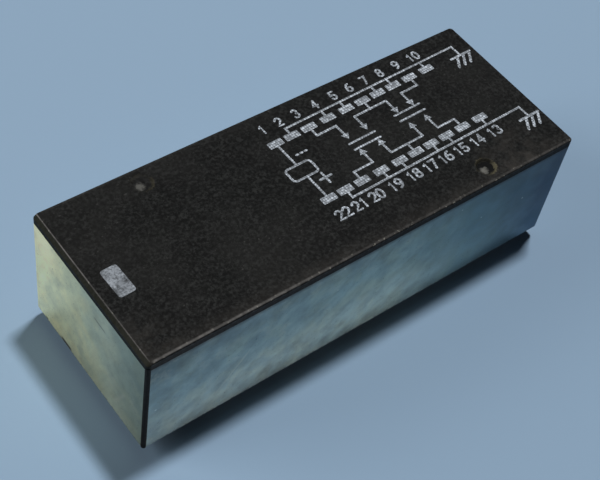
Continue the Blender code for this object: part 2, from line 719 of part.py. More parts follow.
def lead_points(side):
    """A coil lead: from the winding's side out to its pin, then round the pin in a rising wrap."""
    wrap_x = PIN_WIDTH / 2 + LEAD_WRAP_GAP
    wrap_y = SHEET / 2 + LEAD_WRAP_GAP
    wrap_z = WINDING_Z + EAR_HEIGHT + LEAD_START_HEIGHT
    start_y = WINDING_HALF_WIDTH + LEAD_DIAMETER / 2 + SEAT_GAP
    run_x = COIL_PIN_X + wrap_x
    points = []
    for i in range(WRAP_STEPS):
        share = i / WRAP_STEPS
        ease = share * share * (3 - 2 * share)
        height = COIL_MID_Z + (wrap_z - COIL_MID_Z) * ease
        points.append((run_x + LEAD_SLACK * (1 - ease), side * (start_y + (ROW_Y - start_y) * share), height))
    for i in range(LEAD_TURNS * WRAP_STEPS + 1):
        turn = 2 * math.pi * i / WRAP_STEPS
        x = COIL_PIN_X + wrap_x * math.cos(turn)
        y = side * (ROW_Y + wrap_y * math.sin(turn))
        points.append((x, y, wrap_z + LEAD_RISE * i / WRAP_STEPS))
    return points


def build_lead(name, side, finish):
    """One end of the coil's wire."""
    points = lead_points(side)
    curve = bpy.data.curves.new(name, "CURVE")
    curve.dimensions = "3D"
    curve.bevel_depth = LEAD_DIAMETER / 2
    curve.bevel_resolution = 1
    curve.use_fill_caps = True
    spline = curve.splines.new("POLY")
    spline.points.add(len(points) - 1)
    for target, point in zip(spline.points, points):
        target.co = (*point, 1.0)
    curve.materials.append(finish)
    made = bpy.data.objects.new(name, curve)
    bpy.context.scene.collection.objects.link(made)


# Armature

def build_pivot_pin(finish):
    """The headed steel pin that is pressed into the base and holds the armature down."""
    head_z = HOLDER_TOP_Z - PIVOT_HEAD_HEIGHT - SEAT_GAP
    low_z = BASE_Z + BORE_FLOOR + SEAT_GAP
    shape = bmesh.new()
    add_turned(shape, [
        (PIVOT_RADIUS - SEAT_GAP, low_z),
        (PIVOT_RADIUS, low_z + SEAT_GAP),
        (PIVOT_RADIUS, head_z),
        (PIVOT_HEAD_RADIUS, head_z),
        (PIVOT_HEAD_RADIUS, head_z + PIVOT_HEAD_HEIGHT / 2),
        (PIVOT_HEAD_RADIUS - PIVOT_HEAD_HEIGHT / 2, head_z + PIVOT_HEAD_HEIGHT),
    ])
    make_object("pivot_pin", shape, finish, smooth=True)


def build_holder(pivot, finish):
    """The armature's moulding, which grips the plates and the magnet and has the two drive pegs."""
    shape = bmesh.new()
    half_y = IRON_OUT_Y + SEAT_GAP + HOLDER_SIDE
    outline = rounded(-HOLDER_HALF_LENGTH, HOLDER_HALF_LENGTH, -half_y, half_y, HOLDER_ROUNDING)
    add_prism(shape, outline, HOLDER_Z, HOLDER_TOP_Z)
    holder = make_object("armature_holder", shape, finish, pivot)

    low = IRON_Z - SEAT_GAP
    high = IRON_TOP_Z + SEAT_GAP
    slots = bmesh.new()
    for side in (-1, 1):
        edges = sorted((side * (IRON_IN_Y - SEAT_GAP), side * (IRON_OUT_Y + SEAT_GAP)))
        past_x = HOLDER_HALF_LENGTH + PAST
        add_prism(slots, rectangle(-past_x, past_x, *edges), low, high)
    cut(holder, slots, "plate_slots")

    pocket = bmesh.new()
    pocket_x = MAGNET_HALF_LENGTH + SEAT_GAP
    add_prism(pocket, rectangle(-pocket_x, pocket_x, -IRON_IN_Y, IRON_IN_Y), low, high)
    cut(holder, pocket, "magnet_pocket")

    hub = bmesh.new()
    overlap = HOLDER_ROOF / 3
    add_prism(hub, circle(0.0, 0.0, HOLDER_HUB_RADIUS), low - overlap, high + overlap)
    join(holder, hub, "hub")

    pegs = bmesh.new()
    peg_z = CARD_Z + 2 * RUNNING_GAP
    for x in (-CARD_X, CARD_X):
        add_prism(pegs, circle(x, 0.0, DRIVE_PIN_RADIUS), peg_z, HOLDER_Z + HOLDER_FLOOR / 2)
    join(holder, pegs, "drive_pegs")

    bore = bmesh.new()
    recess_z = HOLDER_TOP_Z - PIVOT_HEAD_HEIGHT - 2 * SEAT_GAP
    bore_radius = PIVOT_RADIUS + FIT_GAP
    head_radius = PIVOT_HEAD_RADIUS + FIT_GAP
    add_turned(bore, [
        (bore_radius, HOLDER_Z - PAST),
        (bore_radius, recess_z),
        (head_radius, recess_z),
        (head_radius, HOLDER_TOP_Z + PAST),
    ])
    cut(holder, bore, "bore")


def build_irons(pivot, finish):
    """The armature's two iron plates, which stick out past the pole tips at both ends."""
    reach = IRON_HALF_LENGTH
    trim = IRON_CHAMFER
    right = [(reach - trim, IRON_Z), (reach, IRON_Z + trim)]
    right += [(reach, IRON_TOP_Z - trim), (reach - trim, IRON_TOP_Z)]
    outline = right + [(-u, v) for u, v in reversed(right)]
    for name, side in (("front_armature_plate", -1), ("rear_armature_plate", 1)):
        shape = bmesh.new()
        add_prism(shape, outline, side * IRON_IN_Y, side * IRON_OUT_Y, "y")
        make_object(name, shape, finish, pivot)


def build_magnet(pivot, finish):
    """The permanent magnet between the plates, with a hole for the holder's hub."""
    half_y = IRON_IN_Y - SEAT_GAP
    shape = bmesh.new()
    add_prism(shape, rectangle(-MAGNET_HALF_LENGTH, MAGNET_HALF_LENGTH, -half_y, half_y), IRON_Z, IRON_TOP_Z)
    magnet = make_object("armature_magnet", shape, finish, pivot)
    hole = bmesh.new()
    add_prism(hole, circle(0.0, 0.0, HOLDER_HUB_RADIUS + SEAT_GAP), IRON_Z - PAST, IRON_TOP_Z + PAST)
    cut(magnet, hole, "hub_hole")


# Contact carriers

def build_carrier(name, slide, finish):
    """A sliding card that the armature's peg pushes, with a post at each end to hold a contact bar."""
    plate_y = BAR_IN_Y - RUNNING_GAP
    shape = bmesh.new()
    outline = rectangle(-CARD_HALF_WIDTH, CARD_HALF_WIDTH, -plate_y, plate_y)
    add_prism(shape, outline, CARD_Z, CARD_TOP_Z)
    carrier = make_object(name, shape, finish, slide)

    posts = bmesh.new()
    for side in (-1, 1):
        edges = sorted((side * (BAR_IN_Y - POST_INSIDE), side * (BAR_OUT_Y + POST_OUTSIDE)))
        outline = rectangle(-CARD_HALF_WIDTH, CARD_HALF_WIDTH, *edges)
        add_prism(posts, outline, GROUND_TOP_Z + POST_LIFT, BAR_TOP_Z + POST_ABOVE_BAR)
    join(carrier, posts, "posts")

    openings = bmesh.new()
    past_x = CARD_HALF_WIDTH + PAST
    for side in (-1, 1):
        edges = sorted((side * (BAR_IN_Y - BAR_GRIP_GAP), side * (BAR_OUT_Y + BAR_GRIP_GAP)))
        outline = rectangle(*edges, BAR_Z - BAR_GRIP_GAP, BAR_TOP_Z + BAR_GRIP_GAP)
        add_prism(openings, outline, -past_x, past_x, "x")
    slot_x = DRIVE_PIN_RADIUS + DRIVE_SLOT_END_GAP
    slot_y = DRIVE_PIN_RADIUS + SEAT_GAP
    add_prism(openings, rectangle(-slot_x, slot_x, -slot_y, slot_y), CARD_Z - PAST / 4, CARD_TOP_Z + PAST / 4)
    cut(carrier, openings, "bar_and_peg_openings")


def bar_outline():
    """A contact bar seen from the front: a strip whose two ends are split in two."""
    reach = BAR_HALF_LENGTH
    slit_x = reach - BAR_SLIT_LENGTH
    slit_low = CONTACT_Z - BAR_SLIT_WIDTH / 2
    slit_high = CONTACT_Z + BAR_SLIT_WIDTH / 2
    r = BAR_ROUNDING
    right = arc(reach - r, BAR_Z + r, r, -90, 0, 2)
    right += [(reach, slit_low), (slit_x, slit_low), (slit_x, slit_high), (reach, slit_high)]
    right += arc(reach - r, BAR_TOP_Z - r, r, 0, 90, 2)
    left = [(-u, v) for u, v in reversed(right)]
    return right + left


def build_bar(name, slide, side, finish):
    """A thin springy bar that bridges two fixed contacts."""
    shape = bmesh.new()
    edges = sorted((side * BAR_IN_Y, side * BAR_OUT_Y))
    add_prism(shape, bar_outline(), *edges, "y")
    make_object(name, shape, finish, slide)


def main():
    for old in list(bpy.data.objects):
        bpy.data.objects.remove(old, do_unlink=True)

    black = make_material("case_black", (0.022, 0.021, 0.021), 0.55)
    nickel = make_material("shield_nickel_silver", (0.55, 0.57, 0.53), 0.35, 1.0)
    dark = make_material("base_dark_plastic", (0.03, 0.03, 0.032), 0.5)
    resin = make_material("sealing_epoxy", (0.05, 0.035, 0.02), 0.25)
    tin = make_material("tinned_pin", (0.62, 0.61, 0.58), 0.35, 1.0)
    ivory = make_material("bobbin_plastic", (0.55, 0.5, 0.38), 0.5)
    copper = make_material("enamelled_copper", (0.45, 0.17, 0.07), 0.3, 0.9)
    iron = make_material("soft_iron", (0.4, 0.4, 0.39), 0.4, 1.0)
    steel = make_material("pivot_steel", (0.55, 0.55, 0.56), 0.25, 1.0)
    magnet = make_material("magnet_grey", (0.12, 0.12, 0.125), 0.45, 0.6)
    green = make_material("holder_plastic", (0.08, 0.2, 0.16), 0.5)
    white = make_material("carrier_plastic", (0.7, 0.69, 0.64), 0.5)
    silver = make_material("contact_silver", (0.72, 0.7, 0.66), 0.25, 1.0)

    build_case(black)
    build_shield(nickel)
    build_base(dark)
    build_resin(resin)

    for side, name, numbers in ((-1, "front", (1, 3, 6, 9)), (1, "rear", (22, 20, 17, 14))):
        build_coil_terminal(numbers[0], side, tin)
        for number, column in zip(numbers[1:], SIGNAL_COLUMNS):
            build_signal_terminal(number, column, side, tin)
        build_ground_frame(f"{name}_ground_frame", side, tin)
        build_lead(f"{name}_coil_lead", side, copper)

    build_bobbin(ivory)
    build_winding(copper)
    build_core(iron)

    pivot = add_empty("armature_pivot", (0.0, 0.0, 0.0), -HALF_SWING)
    build_pivot_pin(steel)
    build_holder(pivot, green)
    build_irons(pivot, iron)
    build_magnet(pivot, magnet)

    for name, x, y in (("left", -CARD_X, HALF_TRAVEL), ("right", CARD_X, -HALF_TRAVEL)):
        slide = add_empty(f"{name}_carrier_slide", (x, y, 0.0))
        build_carrier(f"{name}_contact_carrier", slide, white)
        build_bar(f"{name}_front_contact_bar", slide, -1, silver)
        build_bar(f"{name}_rear_contact_bar", slide, 1, silver)


main()
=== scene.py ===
"""The looks of a sealed two-pole circuit board relay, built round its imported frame.

Lengths are in metres and +Z is up. The print on the cover, the sealing that creeps up the pins and every finish
are made here. The print has a frame of its own: it lies a little askew on the cover, with its middle in the
middle of the wiring diagram.
"""

import math

import bmesh
import bpy
import numpy as np
from mathutils import Matrix, Vector


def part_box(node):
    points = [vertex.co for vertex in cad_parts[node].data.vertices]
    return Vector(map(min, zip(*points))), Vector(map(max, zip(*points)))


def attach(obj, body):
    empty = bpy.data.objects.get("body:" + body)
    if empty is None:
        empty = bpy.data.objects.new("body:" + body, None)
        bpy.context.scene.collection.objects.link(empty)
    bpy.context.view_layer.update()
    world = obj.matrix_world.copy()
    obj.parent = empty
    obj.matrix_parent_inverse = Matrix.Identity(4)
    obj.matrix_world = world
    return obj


MM = 0.001
MM_PER_METRE = 1000

# Camera, fitted to the cover's edges
CAMERA_PLACE = (-40.65 * MM, -38.67 * MM, 72.10 * MM)
CAMERA_AIM = (0.45608, 0.43967, -0.77375)
CAMERA_UP = (0.40681, 0.67028, 0.62067)
CAMERA_LENS = 76.09
CAMERA_SENSOR = 36.0
CAMERA_NEAR = 1.0 * MM
CAMERA_FAR = 10.0

# Stage. A lamp has a name, a place, a length, a width, a power and a colour
FLOOR_REACH = 1.5
FLOOR_COLOUR = (0.285, 0.41, 0.57)
SKY_COLOUR = (0.86, 0.93, 1.0)
SKY_LIGHT = 0.015
SKY_SEEN = 0.40
LAMPS = (
    ("key", (0.106, 0.044, 0.50), 0.050, 0.045, 1.86, (1.0, 0.985, 0.95)),
    ("rear_left_fill", (-0.32, 0.20, 0.22), 0.25, 0.25, 0.80, (1.0, 0.99, 0.93)),
    ("from_below", (0.06, 0.06, -0.40), 0.40, 0.40, 1.10, (0.95, 0.97, 1.0)),
)

# Print. A row of numbers has its numbers, its place and the share of the digits' full size
PRINT_TILT = math.radians(1.6)
PRINT_X = 6.02 * MM
PRINT_Y = 1.04 * MM
INK_HEIGHT = 0.012 * MM
INK_SINK = 0.004 * MM
INK_LAYER = 0.0015 * MM
INK_SLOPE = 0.015 * MM
SHARPEST_MITRE = 0.7
ROUND_END = (78.0, 52.0, 26.0)
LINE_WIDTH = 0.18 * MM
DIGIT_LINE = 0.19 * MM
DIGIT_WIDTH = 0.45 * MM
DIGIT_HEIGHT = 0.78 * MM
DIGIT_STEP = 0.64 * MM
COLUMNS = [place * MM for place in (-6.80, -5.40, -3.94, -2.27, -0.61, 0.86, 2.28, 3.72, 5.27, 6.93)]
NUMBER_Y = 4.30 * MM
NUMBER_ROWS = (
    (range(1, 11), NUMBER_Y, 0.88),
    (range(22, 12, -1), -NUMBER_Y, 0.95),
)
RAIL_COLUMNS = (1, 3, 4, 6, 7, 9)
RAIL_Y = 3.58 * MM
PAD_Y = 2.82 * MM
PAD_LENGTH = 1.17 * MM
PAD_WIDTH = 0.57 * MM
PAD_CORNER = 0.06 * MM
PAD_INNER_Y = PAD_Y - PAD_WIDTH / 4
BRANCH_Y = 1.94 * MM
GROUND_X = 10.12 * MM
GROUND_DROP = 1.00 * MM
GROUND_HALF_BAR = 0.90 * MM
GROUND_LINE = 0.22 * MM
GROUND_STROKE_X = (-0.30 * MM, 0.28 * MM, 0.86 * MM)
GROUND_STROKE_RUN = 0.62 * MM
GROUND_STROKE_DROP = 0.92 * MM
COIL_HALF_LENGTH = 1.03 * MM
COIL_HALF_WIDTH = 0.57 * MM
COIL_CORNER = 0.25 * MM
SIGN_X = -5.83 * MM
SIGN_Y = 1.28 * MM
SIGN_REACH = 0.46 * MM
DASH_STEP = 0.36 * MM
DASH_HALF = 0.055 * MM
ARROW_HALF_WIDTH = 0.32 * MM
ARROW_LENGTH = 0.52 * MM
BAR_HALF_LENGTH = 1.14 * MM
LEFT_BARS_Y = (0.15 * MM, -0.45 * MM)
RIGHT_BARS_Y = (0.50 * MM, -0.12 * MM)
BAR_TOUCH = 0.06 * MM
BAR_AIR = 0.36 * MM
BLOCK_X = -21.76 * MM
BLOCK_Y = -0.93 * MM
BLOCK_LENGTH = 1.22 * MM
BLOCK_WIDTH = 2.32 * MM
BLOCK_CORNER = 0.22 * MM

# Sealing that creeps up the pins
PIN_WIDTH = 0.6 * MM
PIN_SHEET = 0.25 * MM
PIN_CORNER = 0.03 * MM
CREEP_RADIUS = 0.16 * MM
CREEP_STEPS = 6

# Wear and painted light, at places in millimetres: a gate mark with its strength, whose rim and pale spot are
# painted highlights, a handled spot with the distances between which its haze fades and its strength, a line with
# its start, end, width and strength
GATE_MARKS = ((10.3, -5.24, 1.0), (-10.3, 5.24, 0.25))
GATE_RADIUS = 0.68
HANDLED_SPOTS = ((-16.7, -4.9, 0.4, 2.6, 1.0), (12.8, -5.4, 0.8, 4.0, 1.1))
CREASE_X = 0.27
INK_CHIP = (-15.25, -0.70)
END_SMUDGES = (
    ((-0.65, 8.45), (-2.15, 8.35), 0.16, 0.55),
    ((3.35, 1.29), (2.0, 1.26), 0.27, 1.3),
    ((5.35, 1.23), (5.0, 1.23), 0.12, 0.9),
)
FRONT_SCRATCHES = (
    ((-12.4, 2.6), (-9.6, 6.3), 0.12, 0.3),
    ((-11.6, 2.3), (-10.4, 4.1), 0.10, 0.3),
)
END_SCRATCH = ((-3.1, 2.0), (-4.4, 4.6), 0.25, 0.3)

# The shield's colours with painted reflections in them, from 0 at the front's left to 1 at its right, and on the
# left end from front to rear: a painted navy reflection at the front's right, a warm, light painted reflection at
# the left end's rear
FRONT_METAL_AND_REFLECTION_COLOURS = (
    (0.03, (0.160, 0.232, 0.236)), (0.20, (0.244, 0.330, 0.318)), (0.55, (0.300, 0.390, 0.355)),
    (0.76, (0.131, 0.222, 0.240)), (0.96, (0.016, 0.052, 0.092)),
)
END_METAL_AND_REFLECTION_COLOURS = (
    (0.02, (0.190, 0.240, 0.190)), (0.31, (0.460, 0.500, 0.375)), (0.50, (0.560, 0.580, 0.395)),
    (0.69, (0.750, 0.720, 0.435)), (0.90, (1.000, 0.940, 0.565)),
)


# Frame

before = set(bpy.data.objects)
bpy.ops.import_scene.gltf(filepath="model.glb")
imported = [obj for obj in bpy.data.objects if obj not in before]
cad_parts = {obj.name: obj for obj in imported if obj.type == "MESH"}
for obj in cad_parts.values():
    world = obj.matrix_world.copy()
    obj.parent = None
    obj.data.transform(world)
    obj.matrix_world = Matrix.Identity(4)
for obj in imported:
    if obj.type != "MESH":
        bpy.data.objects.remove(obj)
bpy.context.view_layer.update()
COVER_LOW, COVER_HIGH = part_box("case_cover")
SHIELD_LOW, SHIELD_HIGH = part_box("shield_band")
RESIN_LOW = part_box("sealing_resin")[0]


def middle(node):
    """The middle of a CAD node's box."""
    low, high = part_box(node)
    return (low + high) / 2


# Shapes

def arc(centre_x, centre_y, radius_x, radius_y, start, end, steps=12):
    """Points on an upright ellipse: centre + (radius_x cos a, radius_y sin a), for a from start to end degrees."""
    angle = np.radians(np.linspace(start, end, steps + 1))
    return np.stack([centre_x + radius_x * np.cos(angle), centre_y + radius_y * np.sin(angle)], axis=1)


def rounded_box(half_x, half_y, corner, steps=5):
    """A closed outline: four quarter circles about the corners' centres, joined by straight sides."""
    x, y = half_x - corner, half_y - corner
    quarters = ((x, y, 0), (-x, y, 90), (-x, -y, 180), (x, -y, 270))
    return np.concatenate([arc(u, v, corner, corner, turn, turn + 90, steps) for u, v, turn in quarters])


def across(direction):
    """Each direction turned a quarter to the left."""
    return np.stack([-direction[:, 1], direction[:, 0]], axis=1)


def grid_faces(rows, columns, closed):
    """Quads between neighbours on a grid whose columns wrap round, and whose rows do where it is closed."""
    index = np.arange(rows * columns).reshape(rows, columns)
    ahead = np.roll(index, -1, axis=0)
    low, high = (index, ahead) if closed else (index[:-1], ahead[:-1])
    faces = np.stack([low, np.roll(low, -1, axis=1), np.roll(high, -1, axis=1), high], axis=-1)
    return faces.reshape(-1, 4).tolist()


def stroke(points, width, closed=False, layer=0):
    """A raised line of ink along a path. Lines that cross lie on layers of their own, a hair apart.

    At each station the profile (half width, 0), (half width - slope, height) and its mirror image stand across
    the path, along the mitre: the sum of the two neighbouring normals over one plus their dot product, which is
    kept from getting small at sharp corners. An open path ends in half circles, where the half width is its full
    value times cos b at a distance sin b past the end.
    """
    path = np.asarray(points, float)
    ahead = np.roll(path, -1, axis=0) - path
    if not closed:
        ahead[-1] = ahead[-2]
    ahead /= np.linalg.norm(ahead, axis=1)[:, None]
    behind = np.roll(ahead, 1, axis=0)
    if not closed:
        behind[0] = ahead[0]
    normal_in, normal_out = across(behind), across(ahead)
    fold = np.maximum(1 + np.sum(normal_in * normal_out, axis=1), SHARPEST_MITRE)
    mitre = (normal_in + normal_out) / fold[:, None]
    share = np.ones(len(path))
    half = width / 2
    if not closed:
        turn = np.radians(ROUND_END)
        before = path[0] - ahead[0] * half * np.sin(turn)[:, None]
        after = path[-1] + ahead[-1] * half * np.sin(turn[::-1])[:, None]
        path = np.concatenate([before, path, after])
        start, end = (np.repeat(side, len(turn), axis=0) for side in (mitre[:1], mitre[-1:]))
        mitre = np.concatenate([start, mitre, end])
        share = np.concatenate([np.cos(turn), share, np.cos(turn[::-1])])
    slope = min(INK_SLOPE, half / 2)
    offsets = np.array([half, half - slope, slope - half, -half])
    top = INK_HEIGHT + layer * INK_LAYER
    heights = np.array([-INK_SINK, top, top, -INK_SINK])
    flat = path[:, None, :] + mitre[:, None, :] * (share[:, None] * offsets)[:, :, None]
    points = np.concatenate([flat, np.broadcast_to(heights[None, :, None], flat.shape[:2] + (1,))], axis=2)
    faces = grid_faces(len(path), 4, closed)
    if not closed:
        last = 4 * len(path)
        faces += [[3, 2, 1, 0], [last - 4, last - 3, last - 2, last - 1]]
    return points.reshape(-1, 3), faces


def plate(outline, layer=0):
    """A raised patch of ink: its outline at the foot, and the outline drawn in towards its middle at the top."""
    outline = np.asarray(outline, float)
    centre = outline.mean(axis=0)
    out = outline - centre
    reach = np.linalg.norm(out, axis=1)[:, None]
    top = centre + out * (1 - INK_SLOPE / reach)
    low = np.column_stack([outline, np.full(len(outline), -INK_SINK)])
    high = np.column_stack([top, np.full(len(outline), INK_HEIGHT + layer * INK_LAYER)])
    count = len(outline)
    faces = grid_faces(2, count, False)
    faces += [list(range(count))[::-1], list(range(count, 2 * count))]
    return np.concatenate([low, high]), faces


def moved(outline, x, y):
    """An outline moved in its own plane."""
    return np.asarray(outline, float) + (x, y)


def on_cover(points):
    """Print points turned by the print's tilt, moved to its middle and laid on the cover's top."""
    cosine, sine = math.cos(PRINT_TILT), math.sin(PRINT_TILT)
    x = PRINT_X + points[:, 0] * cosine - points[:, 1] * sine
    y = PRINT_Y + points[:, 0] * sine + points[:, 1] * cosine
    return np.stack([x, y, COVER_HIGH.z + points[:, 2]], axis=1)


def make_piece(name, parts, finish, smooth=False):
    """Join closed surfaces into one piece that rides on the relay's body."""
    points, faces, count = [], [], 0
    for part_points, part_faces in parts:
        points.append(part_points)
        faces += [[corner + count for corner in face] for face in part_faces]
        count += len(part_points)
    mesh = bpy.data.meshes.new(name)
    mesh.from_pydata(np.concatenate(points).tolist(), [], faces)
    shape = bmesh.new()
    shape.from_mesh(mesh)
    bmesh.ops.recalc_face_normals(shape, faces=shape.faces)
    shape.to_mesh(mesh)
    shape.free()
    if smooth:
        mesh.shade_smooth()
    mesh.materials.append(finish)
    made = bpy.data.objects.new(name, mesh)
    bpy.context.scene.collection.objects.link(made)
    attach(made, "relay_body")


# Finishes

class Value:
    """A shader socket that can stand in a sum."""

    def __init__(self, maker, socket):
        self.maker = maker
        self.socket = socket

    def _math(self, operation, *values):
        return self.maker.node("ShaderNodeMath", {"operation": operation}, *values)

    def __add__(self, other):
        return self._math("ADD", self, other)

    def __radd__(self, other):
        return self._math("ADD", other, self)

    def __sub__(self, other):
        return self._math("SUBTRACT", self, other)

    def __rsub__(self, other):
        return self._math("SUBTRACT", other, self)

    def __mul__(self, other):
        return self._math("MULTIPLY", self, other)

    def __rmul__(self, other):
        return self._math("MULTIPLY", other, self)

    def __truediv__(self, other):
        return self._math("DIVIDE", self, other)

    def __rtruediv__(self, other):
        return self._math("DIVIDE", other, self)

    def __abs__(self):
        return self._math("ABSOLUTE", self)


class Finish:
    """One procedural material, on the piece's own Object coordinates."""

    def __init__(self, name, roughness=0.5, metallic=0.0, **constants):
        self.material = bpy.data.materials.new(name)
        self.material.use_nodes = True
        self.tree = self.material.node_tree
        self.shader = self.tree.nodes["Principled BSDF"]
        self.shader.inputs["Roughness"].default_value = roughness
        self.shader.inputs["Metallic"].default_value = metallic
        for socket, value in constants.items():
            self.shader.inputs[socket.replace("_", " ")].default_value = value
        self.place = self.node("ShaderNodeTexCoord", {}, output="Object")
        self.x, self.y, self.z = (
            self.node("ShaderNodeSeparateXYZ", {}, self.place, output=axis) for axis in "XYZ"
        )

    def feed(self, socket, value):
        """Link a value to a socket, or set it there as a constant."""
        if isinstance(value, Value):
            self.tree.links.new(value.socket, socket)
        elif socket.type == "RGBA":
            socket.default_value = (*value, 1.0)
        else:
            socket.default_value = value

    def node(self, kind, settings, *values, output=None, **named):
        """Add a node: its settings first, then values or links for its sockets, by order or by name.

        Only the sockets that the settings leave open count in the order.
        """
        made = self.tree.nodes.new(kind)
        for name, value in settings.items():
            if name == "stops":
                ramp = made.color_ramp.elements
                while len(ramp) < len(value):
                    ramp.new(0.5)
                for element, (position, colour) in zip(ramp, value):
                    element.position = position
                    element.color = (*colour, 1.0)
            else:
                setattr(made, name, value)
        for socket, value in zip([socket for socket in made.inputs if socket.enabled], values):
            self.feed(socket, value)
        for name, value in named.items():
            self.feed(made.inputs[name.replace("_", " ")], value)
        results = made.outputs if output else [socket for socket in made.outputs if socket.enabled]
        return Value(self, results[output or 0])

    def stretched(self, x=1.0, y=1.0, z=1.0, turn=(0.0, 0.0, 0.0)):
        """Object coordinates for a pattern stretched along each axis and then turned, in degrees."""
        angles = tuple(math.radians(angle) for angle in turn)
        return self.node(
            "ShaderNodeMapping", {"vector_type": "TEXTURE"}, self.place, Rotation=angles, Scale=(x, y, z)
        )

    def ramp(self, value, *stops):
        """A colour that runs through the given stops, each a place from 0 to 1 and a colour."""
        return self.node("ShaderNodeValToRGB", {"stops": stops}, value)

    def from_point(self, x, y, height):
        """The distance in millimetres from a point: x and y in millimetres, its height in metres."""
        point = (x * MM, y * MM, height)
        return self.node("ShaderNodeVectorMath", {"operation": "DISTANCE"}, self.place, point) * MM_PER_METRE

    def noise(self, size, detail=3.0, rough=0.5, along=None):
        """Soft noise whose patches are about the given size across."""
        return self.node(
            "ShaderNodeTexNoise", {}, Vector=along or self.place, Scale=1.0 / size, Detail=detail, Roughness=rough
        )

    def cells(self, size):
        """The distance to the nearest of many scattered points, about the given size apart."""
        return self.node("ShaderNodeTexVoronoi", {}, Vector=self.place, Scale=1.0 / size)

    def ease(self, value, low, high, start=0.0, end=1.0):
        """Smoothly from start, where the value is at low, to end, where it is at high."""
        return self.node(
            "ShaderNodeMapRange", {"interpolation_type": "SMOOTHSTEP"}, value, low, high, start, end
        )

    def fade(self, value, near, far, start=1.0):
        """Smoothly from start, where the value is near, down to 0, where it is far."""
        return self.ease(value, near, far, start, 0.0)

    def mix(self, first, second, share, blend="MIX"):
        """Two colours mixed by a share from 0 to 1."""
        return self.node("ShaderNodeMix", {"data_type": "RGBA", "blend_type": blend}, share, first, second)

    def bump(self, height, depth, strength):
        """A bumped normal: the height, from 0 to 1, stands for the given depth."""
        return self.node("ShaderNodeBump", {}, Strength=strength, Distance=depth, Height=height)

    def paint(self, **links):
        """Join values to the shader's sockets and return the material."""
        for name, value in links.items():
            self.tree.links.new(value.socket, self.shader.inputs[name.replace("_", " ")])
        return self.material


def near_line(finish, axes, start, end, width, strength):
    """The strength on a line from start to end in the plane of two axes, falling to 0 at its width and its ends."""
    u, v = (getattr(finish, axis) for axis in axes)
    run_u, run_v = (end[0] - start[0]) * MM, (end[1] - start[1]) * MM
    length = math.hypot(run_u, run_v)
    from_u, from_v = u - start[0] * MM, v - start[1] * MM
    along = (from_u * (run_u / length) + from_v * (run_v / length)) / length
    aside = abs(from_u * (run_v / length) - from_v * (run_u / length))
    inside = finish.ease(along, -0.05, 0.2) * finish.fade(along, 0.8, 1.05)
    return finish.fade(aside, 0.0, width * MM) * inside * strength


